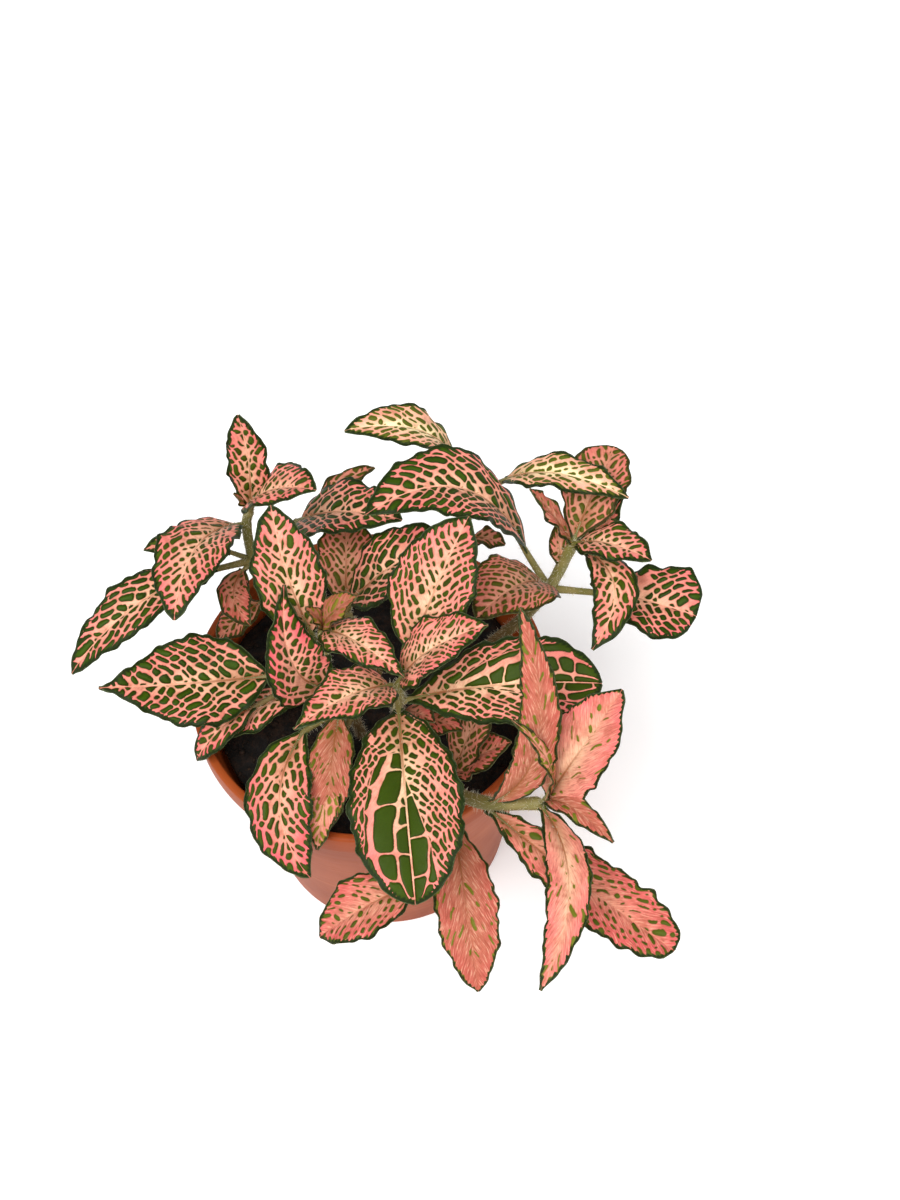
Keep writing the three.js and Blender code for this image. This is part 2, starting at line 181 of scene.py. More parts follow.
SHOOTS = (
    Shoot(
        "shoot_back_left",
        0.9,
        ((-10, 11, 40), (-12, 14, 50), (-15, 17, 58), (-16, 18, 66), (-16, 21, 72), (-15, 21, 76)),
        (
            Leaf(5, 75, 78, 1, 19, 6.8, Tone.BLUSH, arch=0, bow=-0.8, blunt=0.65, ragged=0.6),
            Leaf(5, -38, 43, 1.5, 19, 10, Tone.BLUSH),
            Leaf(4.8, 170, 70, 0.5, 5, 2, Tone.BUD, arch=0.3),
            Leaf(4, -116, 19, 2.5, 26, 11.5, Tone.BLUSH, arch=3.6, bow=-2),
            Leaf(3, 173, 8, 4.5, 14, 5.5, Tone.BLUSH),
            Leaf(3, -151, -6, 8, 28.5, 9.5, Tone.MATURE, arch=5),
            Leaf(3, -90, 0, 3, 11, 5.5, Tone.PURPLE, arch=1, bow=-2),
            Leaf(1.8, -150, -15, 2, 9.5, 6, Tone.SHADED, arch=1),
        ),
    ),
    Shoot(
        "shoot_middle",
        0.9,
        ((-5, -3, 40), (-6, -5, 52), (-7, -6, 62), (-6.5, -5.5, 70), (-6, -5.5, 78)),
        (
            Leaf(4, 3, 49, 0.5, 9, 5, Tone.BUD, arch=1),
            Leaf(4, 166, 70, 0.5, 6, 3, Tone.BUD, arch=0.5),
            Leaf(4, -54, 20, 1.5, 19, 8, Tone.YOUNG, arch=2, widest=0.38, blunt=1.05),
            Leaf(3, 103, 55, 6, 22, 11, Tone.BLUSH, bow=1),
            Leaf(2, 123, 76, 1, 24, 11, Tone.HOT, bow=4.4, widest=0.36, blunt=1.1),
        ),
    ),
    Shoot(
        "shoot_crown",
        1.0,
        ((5, -9, 40), (5, -12, 52), (4, -15, 62), (3.7, -17, 71), (4, -17.8, 78.5)),
        (
            Leaf(4, -148, 24, 2, 19, 9.6, Tone.YOUNG, widest=0.34, blunt=1.1),
            Leaf(4, -6, 45, 2, 19, 10, Tone.YOUNG, widest=0.42),
            Leaf(3.5, -94, -5, 3, 31, 17, Tone.GIANT, arch=3, widest=0.56, blunt=0.6,
                 coarse=Coarse.RIGHT),
            Leaf(3.2, -11, 10, 2, 30, 14.5, Tone.GIANT, arch=3, roll=10, widest=0.62, blunt=0.6,
                 coarse=Coarse.LEFT, coarse_cell=2.5),
            Leaf(3.5, 43, 50, 8, 24, 14, Tone.BLUSH, arch=1),
            Leaf(2.5, -49, 34, 2, 8, 4.5, Tone.PURPLE, arch=1),
            Leaf(2.2, -33, 16, 3, 9, 5, Tone.PURPLE, arch=1),
        ),
    ),
    Shoot(
        "shoot_back",
        0.8,
        ((-5, 15, 40), (-6, 19, 52), (-7, 22.5, 60), (-8, 25, 65)),
        (
            Leaf(3, -35, 30, 1.5, 23, 12.5, Tone.MATURE, widest=0.38),
            Leaf(2.7, 25, 12, 4, 13, 4, Tone.SHADED),
        ),
    ),
    Shoot(
        "shoot_inner_back",
        0.8,
        ((3, 3, 40), (1, 5, 50), (-1, 6, 58), (-2, 8, 62)),
        (
            Leaf(3, 80, 20, 1, 16, 9.5, Tone.SHADED, arch=1),
            Leaf(3, 2, 38, 2, 22, 12.5, Tone.MATURE),
        ),
    ),
    Shoot(
        "shoot_right",
        1.0,
        ((17, 5, 40), (21, 4, 50), (27, 2.5, 60), (31, 2, 68), (35, 3, 78)),
        (
            Leaf(3, -179, 35, 8, 30, 14, Tone.MATURE, arch=5.3, bow=-5, swing=10),
            Leaf(4, 55, 18, 1, 16.5, 10, Tone.SHADED, arch=1, widest=0.58, blunt=0.55),
            Leaf(4, 160, 63, 1, 14, 4, Tone.VELVET, arch=0.3),
            Leaf(3.5, 90, 62, 1, 7, 3.5, Tone.SHADED, arch=0.5),
            Leaf(4, -50, 30, 2, 16, 7.5, Tone.BLUSH, arch=1.5),
            Leaf(4, 26, 27, 1, 10, 3.5, Tone.HOT, arch=-2),
            Leaf(4, -98, 4, 3, 19, 7, Tone.BLUSH, bow=4),
            Leaf(3, -32, 8, 9, 16.5, 14, Tone.MATURE, arch=1, widest=0.72, blunt=0.35, ragged=1.0),
            Leaf(3, -142, 29, 2.5, 18, 13, Tone.SHADED, arch=3),
        ),
    ),
    Shoot(
        "shoot_front_right",
        1.1,
        ((7, -15, 40), (7.5, -20.5, 50), (9.5, -26.5, 59), (15, -32.5, 64), (23, -36, 68)),
        (
            Leaf(3, 63, 63, 1.5, 35, 6.4, Tone.ROSE, arch=5, bow=-6.5),
            Leaf(4, 28, 51, 2, 22, 11.5, Tone.PALE_ROSE, bow=-1),
            Leaf(4, 148, 77, 1, 22, 3, Tone.OLIVE, arch=3, roll=5),
            Leaf(4, -56, 26, 1, 15.5, 4, Tone.ROSE, arch=3),
            Leaf(3.9, -101, 5, 1.5, 30, 6.5, Tone.PALE_ROSE, arch=3, bow=4),
            Leaf(2.8, -49, -4, 1.5, 36, 10.5, Tone.CRIMSON, arch=-1, widest=0.68, blunt=0.4, ragged=1.0),
            Leaf(2, -91, -22, 6, 26, 9.6, Tone.ROSE, arch=3, widest=0.52),
        ),
        slot="leaf_rose",
    ),
    Shoot(
        "shoot_back_right",
        0.9,
        ((13, 14, 40), (16, 17, 52), (20, 19.5, 64), (21.5, 21, 74)),
        (
            Leaf(3, 180, 33, 8, 20, 8.5, Tone.CREAM, arch=4),
            Leaf(2.7, -33, 16, 10, 22, 7.2, Tone.CREAM, arch=3.6),
            Leaf(1.7, -30, 10, 3, 6, 4, Tone.SHADED, arch=1),
        ),
    ),
    Shoot(
        "shoot_left",
        0.9,
        ((-9, 2, 40), (-10, 0, 50), (-11.5, -1.5, 58), (-12, -2, 61)),
        (
            Leaf(3, -178, 13, 4, 27.5, 15.5, Tone.MATURE, arch=-1.5, roll=-20, widest=0.4, blunt=1.3),
            Leaf(1.6, -153, -5, 2, 13.5, 7, Tone.BLUSH, arch=1),
            Leaf(1.8, -154, -24, 9, 13, 6, Tone.HOT),
        ),
    ),
    Shoot(
        "shoot_front_left",
        0.9,
        ((-2, -6, 40), (-3, -8, 50), (-3.5, -9, 58), (-3.5, -9.5, 61)),
        (
            Leaf(3, -97, -25, 9, 23, 10.5, Tone.HOT, arch=3, bow=-4, swing=-26),
            Leaf(3, -106, -26, 3, 18, 7.5, Tone.VELVET, arch=3, swing=-32),
            Leaf(2, -113, -22, 8, 16, 5, Tone.OLIVE),
        ),
    ),
    Shoot(
        "shoot_inner_right",
        0.8,
        ((14, -9, 40), (13, -15.5, 46), (11.5, -19.5, 50), (11, -21.5, 53.5)),
        (
            Leaf(3, 33, 60, 1, 18, 7, Tone.SHADED, arch=1),
            Leaf(3, -6, 46, 1, 13, 7, Tone.PURPLE, arch=1),
        ),
    ),
    Shoot(
        "shoot_front",
        0.9,
        ((3, -18, 40), (4, -22, 48), (6.5, -27, 53), (8, -32.3, 54)),
        (
            Leaf(3, -165, -14, 10, 16.5, 10.5, Tone.CRIMSON, arch=1.5, swing=35),
        ),
        slot="leaf_rose",
    ),
)


# Node trees
def math_method(operation: str, swapped: bool = False) -> Callable[..., Number]:
    """Makes a method of Number that adds a Math node.

    Args:
        operation: The node's operation.
        swapped: Whether the number itself comes after the other value.

    Returns:
        The method, which takes the operation's other values.
    """

    def method(self: Number, *others: Number | float) -> Number:
        """The node's result."""
        values = (*others, self) if swapped else (self, *others)
        node = self.tree.add("ShaderNodeMath", {"operation": operation}, dict(enumerate(values)))
        return Number(self.tree, node.outputs[0])

    return method


class Number:
    """A socket that carries one number and takes Python's arithmetic."""

    __add__ = __radd__ = math_method("ADD")
    __sub__ = math_method("SUBTRACT")
    __rsub__ = math_method("SUBTRACT", swapped=True)
    __mul__ = __rmul__ = math_method("MULTIPLY")
    __truediv__ = math_method("DIVIDE")
    __rtruediv__ = math_method("DIVIDE", swapped=True)
    __pow__ = math_method("POWER")
    __abs__ = math_method("ABSOLUTE")
    __gt__ = math_method("GREATER_THAN")
    floor = math_method("FLOOR")
    fraction = math_method("FRACT")
    larger = math_method("MAXIMUM")
    smaller = math_method("MINIMUM")

    def __init__(self, tree: Tree, socket: bpy.types.NodeSocket) -> None:
        """Wraps an output socket of a tree."""
        self.tree = tree
        self.socket = socket

    def rise(self, low: Number | float, high: Number | float) -> Number:
        """A smooth step.

        Args:
            low: Where the step starts, at nought.
            high: Where it ends, at one.

        Returns:
            The step's height here.
        """
        node = self.tree.add(
            "ShaderNodeMapRange",
            {"interpolation_type": "SMOOTHSTEP"},
            {"Value": self, "From Min": low, "From Max": high},
        )
        return Number(self.tree, node.outputs["Result"])

    def fall(self, low: Number | float, high: Number | float) -> Number:
        """A smooth step the other way, from one down to nought."""
        return 1.0 - self.rise(low, high)

    def clamped(self) -> Number:
        """The number kept between nought and one."""
        return self.larger(0.0).smaller(1.0)


class Tree:
    """Adds nodes to one shader or geometry tree."""

    def __init__(self, tree: bpy.types.NodeTree) -> None:
        """Takes the tree that nodes are added to."""
        self.tree = tree

    def feed(self, socket: bpy.types.NodeSocket, value: object) -> None:
        """Links an input socket or gives it a value.

        Args:
            socket: The input socket.
            value: A Number or an output socket to link, or a plain value.
        """
        if isinstance(value, Number):
            self.tree.links.new(value.socket, socket)
        elif isinstance(value, bpy.types.NodeSocket):
            self.tree.links.new(value, socket)
        else:
            socket.default_value = value

    def add(
        self,
        kind: str,
        settings: dict[str, object] | None = None,
        values: dict[str | int, object] | None = None,
    ) -> bpy.types.Node:
        """Adds one node of any type.

        Args:
            kind: The node's type.
            settings: Its settings, set first.
            values: Values or links, by its sockets' names or numbers.

        Returns:
            The node.
        """
        node = self.tree.nodes.new(kind)
        for name, setting in (settings or {}).items():
            setattr(node, name, setting)
        for name, value in (values or {}).items():
            self.feed(node.inputs[name], value)
        return node

    def split(self, vector: bpy.types.NodeSocket) -> tuple[Number, ...]:
        """The three numbers of a vector."""
        parts = self.add("ShaderNodeSeparateXYZ", None, {0: vector}).outputs
        return tuple(Number(self, part) for part in parts)

    def triple(self, name: str) -> tuple[Number, ...]:
        """The three numbers of a mesh's vector attribute."""
        return self.split(self.add("ShaderNodeAttribute", {"attribute_name": name}).outputs["Vector"])

    def point(self, x: object, y: object, z: object = 0.0) -> bpy.types.NodeSocket:
        """Joins three numbers into a vector."""
        return self.add("ShaderNodeCombineXYZ", None, {0: x, 1: y, 2: z}).outputs[0]

    def object_place(self) -> bpy.types.NodeSocket:
        """The place on the object, in metres."""
        return self.add("ShaderNodeTexCoord").outputs["Object"]

    def blend(self, share: object, first: object, second: object) -> bpy.types.NodeSocket:
        """Mixes two colours, with `share` of the second."""
        node = self.add("ShaderNodeMix", {"data_type": "RGBA"}, {0: share, 6: first, 7: second})
        return node.outputs[2]

    def noise(self, place: object, scale: float, detail: float = 2.0, rough: float = 0.5) -> Number:
        """Smooth noise about one half, with `detail` finer layers that are `rough` strong."""
        values = {"Vector": place, "Scale": scale, "Detail": detail, "Roughness": rough}
        return Number(self, self.add("ShaderNodeTexNoise", None, values).outputs[0])

    def draw(self, first: object, second: object) -> bpy.types.bpy_prop_collection:
        """The outputs of a node that draws a value and a colour for each pair of numbers."""
        values = {"Vector": self.point(first, second)}
        return self.add("ShaderNodeTexWhiteNoise", {"noise_dimensions": "2D"}, values).outputs


def srgb(red: int, green: int, blue: int) -> tuple[float, float, float, float]:
    """A screen colour as the linear colour that shaders take.

    Args:
        red: Red, from 0 to 255.
        green: Green.
        blue: Blue.

    Returns:
        The linear colour with full alpha.
    """

    def linear(value: int) -> float:
        """One channel, made linear."""
        share = value / 255
        return share / 12.92 if share <= 0.04045 else ((share + 0.055) / 1.055) ** 2.4

    return linear(red), linear(green), linear(blue), 1.0


class Coat:
    """A material in the making, with its tree and its shader node."""

    def __init__(self, name: str) -> None:
        """Starts the material of this name.

        Args:
            name: The material's name.
        """
        self.material = bpy.data.materials.new(name)
        self.material.use_nodes = True
        self.tree = Tree(self.material.node_tree)
        self.shader = self.material.node_tree.nodes["Principled BSDF"]

    def paint(self, colour: object, roughness: object) -> None:
        """Gives the shader its colour and roughness."""
        self.tree.feed(self.shader.inputs["Base Color"], colour)
        self.tree.feed(self.shader.inputs["Roughness"], roughness)

    def emboss(self, height: Number, strength: float, depth: float) -> None:
        """Gives the surface a fine relief.

        Args:
            height: The relief's height at each place, as a share.
            strength: How strongly it shows.
            depth: How deep it is, in metres.
        """
        values = {"Height": height, "Strength": strength, "Distance": depth}
        bump = self.tree.add("ShaderNodeBump", None, values)
        self.tree.feed(self.shader.inputs["Normal"], bump.outputs[0])

    def scatter(self, weight: float, radius: tuple[float, float, float], scale: float) -> None:
        """Lets light into the surface.

        Args:
            weight: How much light goes in.
            radius: How far red, green and blue light go, as shares.
            scale: How far that is, in metres.
        """
        self.shader.inputs["Subsurface Weight"].default_value = weight
        self.shader.inputs["Subsurface Radius"].default_value = radius
        self.shader.inputs["Subsurface Scale"].default_value = scale

    def shine(self, level: float) -> None:
        """Sets how strongly the surface mirrors light."""
        self.shader.inputs["Specular IOR Level"].default_value = level


@dataclass(frozen=True)
class PotFinish:
    """Satin moulded plastic, terracotta coloured, with faint flow marks and scuffs."""

    base: tuple = srgb(152, 70, 26)
    pale: tuple = srgb(174, 96, 52)
    deep: tuple = srgb(116, 46, 16)
    cloud_scale: float = 45.0
    flow_scale: float = 30.0
    flow_squeeze: float = 26.0
    scuff_scale: float = 620.0
    roughness: float = 0.44
    relief: float = 0.0002

    def make(self) -> bpy.types.Material:
        """Builds the material.

        Returns:
            The material.
        """
        coat = Coat("moulded_plastic")
        tree = coat.tree
        place = tree.object_place()
        cloud = tree.noise(place, self.cloud_scale, 4.0, 0.6)
        squeeze = {0: place, 3: (1, 1, self.flow_squeeze)}
        rings = tree.add("ShaderNodeMapping", {"vector_type": "POINT"}, squeeze)
        flow = tree.noise(rings.outputs[0], self.flow_scale, 3.0)
        scuff = tree.noise(place, self.scuff_scale, 3.0, 0.7)
        colour = tree.blend(cloud.rise(0.35, 0.75) * 0.6, self.base, self.deep)
        colour = tree.blend(flow.rise(0.55, 0.8) * 0.35, colour, self.pale)
        colour = tree.blend(scuff.rise(0.66, 0.78) * 0.3, colour, self.pale)
        coat.paint(colour, self.roughness + cloud * 0.16)
        coat.emboss(scuff * 0.5 + flow, 0.25, self.relief)
        coat.shine(0.16)
        coat.scatter(0.08, (1.0, 0.35, 0.12), 0.0012)
        return coat.material


@dataclass(frozen=True)
class SoilFinish:
    """Damp peat: near black, with brown fibres and a dull wet glint."""

    dark: tuple = srgb(10, 7, 5)
    brown: tuple = srgb(48, 31, 20)
    light: tuple = srgb(104, 72, 44)
    name: str = "damp_peat"
    lightness: float = 0.0
    lump_scale: float = 420.0
    speck_scale: float = 1500.0
    patch_scale: float = 150.0
    roughness: float = 0.62
    relief: float = 0.0005

    def make(self) -> bpy.types.Material:
        """Builds the material.

        Returns:
            The material.
        """
        coat = Coat(self.name)
        tree = coat.tree
        place = tree.object_place()
        lumps = tree.noise(place, self.lump_scale, 5.0, 0.65)
        specks = tree.noise(place, self.speck_scale, 3.0, 0.6)
        patches = tree.noise(place, self.patch_scale, 2.0)
        brownness = lumps.rise(0.45 - self.lightness, 0.72) * (0.4 + patches * 0.6)
        colour = tree.blend(brownness, self.dark, self.brown)
        colour = tree.blend(specks.rise(0.62, 0.74) * (0.25 + self.lightness), colour, self.light)
        coat.paint(colour, self.roughness + specks * 0.35)
        coat.emboss(lumps + specks * 0.4, 0.8, self.relief)
        coat.shine(0.25)
        return coat.material


@dataclass(frozen=True)
class StemFinish:
    """Living stem: olive, browner towards the soil, with fine ribs along it."""

    olive: tuple = srgb(106, 106, 44)
    pale: tuple = srgb(142, 134, 78)
    brown: tuple = srgb(94, 58, 34)
    cloud_scale: float = 190.0
    grain_scale: float = 900.0
    brown_below: float = 0.05
    green_above: float = 0.072
    roughness: float = 0.5
    relief: float = 0.00025

    def make(self) -> bpy.types.Material:
        """Builds the material.

        Returns:
            The material.
        """
        coat = Coat("living_stem")
        tree = coat.tree
        place = tree.object_place()
        height = tree.split(place)[2]
        cloud = tree.noise(place, self.cloud_scale, 3.0)
        grain = tree.noise(place, self.grain_scale, 3.0, 0.6)
        colour = tree.blend(cloud.rise(0.35, 0.7), self.olive, self.pale)
        low = height.fall(self.brown_below, self.green_above) * 0.5 + cloud * 0.35
        coat.paint(tree.blend(low, colour, self.brown), self.roughness + grain * 0.2)
        coat.emboss(grain, 0.5, self.relief)
        coat.scatter(0.1, (1.0, 0.9, 0.3), 0.0008)
        return coat.material


@dataclass(frozen=True)
class HairFinish:
    """Fine pale hairs."""

    pale: tuple = srgb(232, 228, 208)
    straw: tuple = srgb(196, 186, 150)
    patch_scale: float = 400.0
    roughness: float = 0.4

    def make(self) -> bpy.types.Material:
        """Builds the material.

        Returns:
            The material.
        """
        coat = Coat("pale_hair")
        patches = coat.tree.noise(coat.tree.object_place(), self.patch_scale, 2.0)
        coat.paint(coat.tree.blend(patches, self.pale, self.straw), self.roughness + patches * 0.3)
        return coat.material


@dataclass(frozen=True)
class LeafMap:
    """What the pattern gives at each place on a leaf.

    `cells` is one inside the green cells, `depth` grows inward from a cell's border, and `tint`
    is drawn for each cell. `taper` falls to nought in the margin, and `midrib` is one on the
    midrib, which is `rib_half` wide to each side. `reach` and `edge` are the distances to the
    midrib and the edge, `share` how far out that is, and `along` how far from the leaf's base.
    `bed` and `run` are the place among the side veins. `big` is one where the cells are very
    large. `cream` to `olive` come from the tone. `place` and `start` are where noise is read and
    what it starts from, and `shake` is a fine noise about nought.
    """

    cells: Number
    depth: Number
    tint: Number
    taper: Number
    midrib: Number
    rib_half: Number
    reach: Number
    edge: Number
    share: Number
    along: Number
    bed: Number
    run: Number
    big: Number
    cream: Number
    rose: Number
    umber_and_shade: Number
    streak: Number
    olive: Number
    place: bpy.types.NodeSocket
    start: Number
    shake: Number


@dataclass(frozen=True)
class LeafPattern:
    """The vein net of a leaf, shared by its upper and under face.

    The cells lie in lanes between the side veins, and links cut each lane into cells. Spreads say
    how uneven lanes and cells are, and names with `giant` belong to the very large cells. Distances
    are in millimetres.
    """

    sway_scale: float = 0.4
    shake_scale: float = 2.0
    warp: float = 0.75
    sway_across: float = 1.4
    shake_across: float = 0.15
    sway_along: float = 1.2
    run_share: float = 0.75
    run_curve: float = 0.05
    lane_spread: float = 0.26
    lane_wall: float = 0.045
    lane_shift: float = 7.31
    cell_spread: float = 0.42
    size_spread: float = 0.09
    roundness: float = 0.40
    tooth_length: float = 0.62
    tooth_height: float = 0.9
    margin_start: float = 0.45
    margin_links: float = 0.7
    margin_end: float = 1.3
    vein_fade: float = 0.45
    link_share: float = 0.85
    sunk: float = 0.2
    giant_stretch: float = 1.55
    giant_roundness: float = 0.25
    giant_vein: float = 0.15
    giant_sunk: float = 0.5
    giant_bend: float = 0.6
    giant_sway: float = 1.6
    seam_scale: float = 4.0

    @staticmethod
    def uneven(
        tree: Tree, place: Number, seed: Number, spread: float, extra: float
    ) -> tuple[Number, Number]:
        """Cuts a line into pairs of uneven steps.

        Args:
            tree: The shader tree.
            place: The place on the line, one unit to a pair.
            seed: What the cuts are drawn by.
            spread: How uneven the two steps of a pair are.
            extra: How much thicker the walls between pairs are than those within.

        Returns:
            The distance to the nearer wall, in pairs, and the step's number.
        """
        pair, local = place.floor(), place.fraction()
        draw = Number(tree, tree.draw(pair, seed)[0])
        cut = 0.5 + (draw - 0.5) * spread
        wall = (local.smaller(1.0 - local) - extra).smaller(abs(local - cut))
        return wall, pair * 2.0 + (local > cut)

    def net(
        self, tree: Tree, bed: Number, run: Number, size: Number | float, stretch: Number | float,
        vein: Number, link: Number, least: Number, seed: Number, roundness: float,
    ) -> tuple[Number, Number, Number]:
        """Lays one net of rounded cells.

        Args:
            tree: The shader tree.
            bed: The place across the side veins, in millimetres.
            run: The place along them.
            size: A lane's width.
            stretch: A cell's length in widths.
            vein: Half a vein's width.
            link: Half a link's width.
            least: The distance to the midrib, which bounds the cells too.
            seed: What the net is drawn by.
            roundness: The radius of a cell's corners, in widths.

        Returns:
            How deep inside a cell the place is, and two numbers drawn for the cell.
        """
        pair = size * 2.0
        lane_wall, lane = self.uneven(
            tree, bed / pair + seed, seed, self.lane_spread, self.lane_wall
        )
        length = pair * stretch
        cell_wall, number = self.uneven(
            tree, run / length + lane * self.lane_shift, lane, self.cell_spread, 0.0
        )
        radius = size * roundness
        sideways = (radius - lane_wall * pair + vein).larger(0.0)
        lengthways = (cell_wall * length - link).smaller(least)
        lengthways = (radius - lengthways).larger(0.0)
        depth = radius - (sideways * sideways + lengthways * lengthways) ** 0.5
        colour = tree.draw(lane + seed, number)["Color"]
        parts = tree.add("ShaderNodeSeparateColor", None, {0: colour}).outputs
        return depth, Number(tree, parts[0]), Number(tree, parts[1])

    @staticmethod
    def narrowed(half: Number | float, share: Number, sunk: float) -> Number:
        """Half a vein's width, which sinks below nought where `share` is small."""
        return (half + sunk) * share - sunk

    def read(self, tree: Tree) -> LeafMap:
        """Works out where the leaf's green cells, midrib and margin are.

        Args:
            tree: The shader tree.

        Returns:
            The leaf's map.
        """
        bed, run, edge = tree.triple("leaf_place")
        along, across, coarse = tree.triple("leaf_spot")
        filled, cream, rose = tree.triple("leaf_tone")
        cell, stretch, margin = tree.triple("leaf_cells")
        umber_and_shade, seed, rib_half = tree.triple("leaf_self")
        vein, streak, olive = tree.triple("leaf_net")
        giant_bed, giant_run, giant_cell = tree.triple("leaf_giant")
        reach = abs(across)
        side = across > 0.0
        start = (seed * 17.0 + side * 53.0 + 0.5).floor()
        place = tree.point(bed + start, run, start)
        sway = tree.noise(place, self.sway_scale, 0.0) - 0.5
        shake = tree.noise(place, self.shake_scale, 1.0) - 0.5
        bend = (sway * self.sway_across + shake * self.shake_across) * self.warp
        share = reach / (reach + edge + 0.05)
        tooth = abs((bed / self.tooth_length).fraction() - 0.5)
        jag = shake * 0.7 + (tooth - 0.25) * self.tooth_height
        jag = edge + jag * (margin * 0.7 + 0.3)
        taper = jag.rise(margin * self.margin_start, margin * self.margin_end)
        inner = jag.rise(margin * self.margin_links, margin * self.margin_end)
        least = (reach - rib_half * 0.8) * 1.3
        width = self.narrowed(vein * (1.2 - share * self.vein_fade), taper, self.sunk)
        link = self.narrowed(vein * self.link_share, inner, self.sunk)
        along_veins = run * self.run_share + reach * reach * self.run_curve + sway * self.sway_along
        fine, lot, tint = self.net(
            tree, bed + bend, along_veins, cell, stretch, width, link, least, start, self.roundness
        )
        fine = fine - tint * self.size_spread * inner - (lot > filled) * inner * 2.0
        giant_width = self.narrowed(self.giant_vein * (1.6 - share), taper, self.giant_sunk)
        giant_link = self.narrowed(self.giant_vein * self.link_share, inner, self.giant_sunk)
        giant, _, _ = self.net(
            tree, giant_bed + bend * self.giant_bend, giant_run + sway * self.giant_sway, giant_cell,
            self.giant_stretch, giant_width, giant_link, least, start, self.giant_roundness,
        )
        big = coarse > 0.5
        depth = fine * (1.0 - big) + giant * big
        seam = abs(coarse - 0.5) * self.seam_scale
        depth = depth.smaller(seam - (vein + self.sunk) * taper + self.sunk) + shake * 0.12
        return LeafMap(
            cells=depth.rise(-0.05, 0.06), depth=depth, tint=tint, taper=taper,
            midrib=reach.fall(rib_half * 0.6, rib_half * 1.1), rib_half=rib_half, reach=reach,
            edge=edge, share=share, along=along, bed=bed, run=run, big=big, cream=cream,
            rose=rose, umber_and_shade=umber_and_shade, streak=streak, olive=olive, place=place, start=start,
            shake=shake,
        )


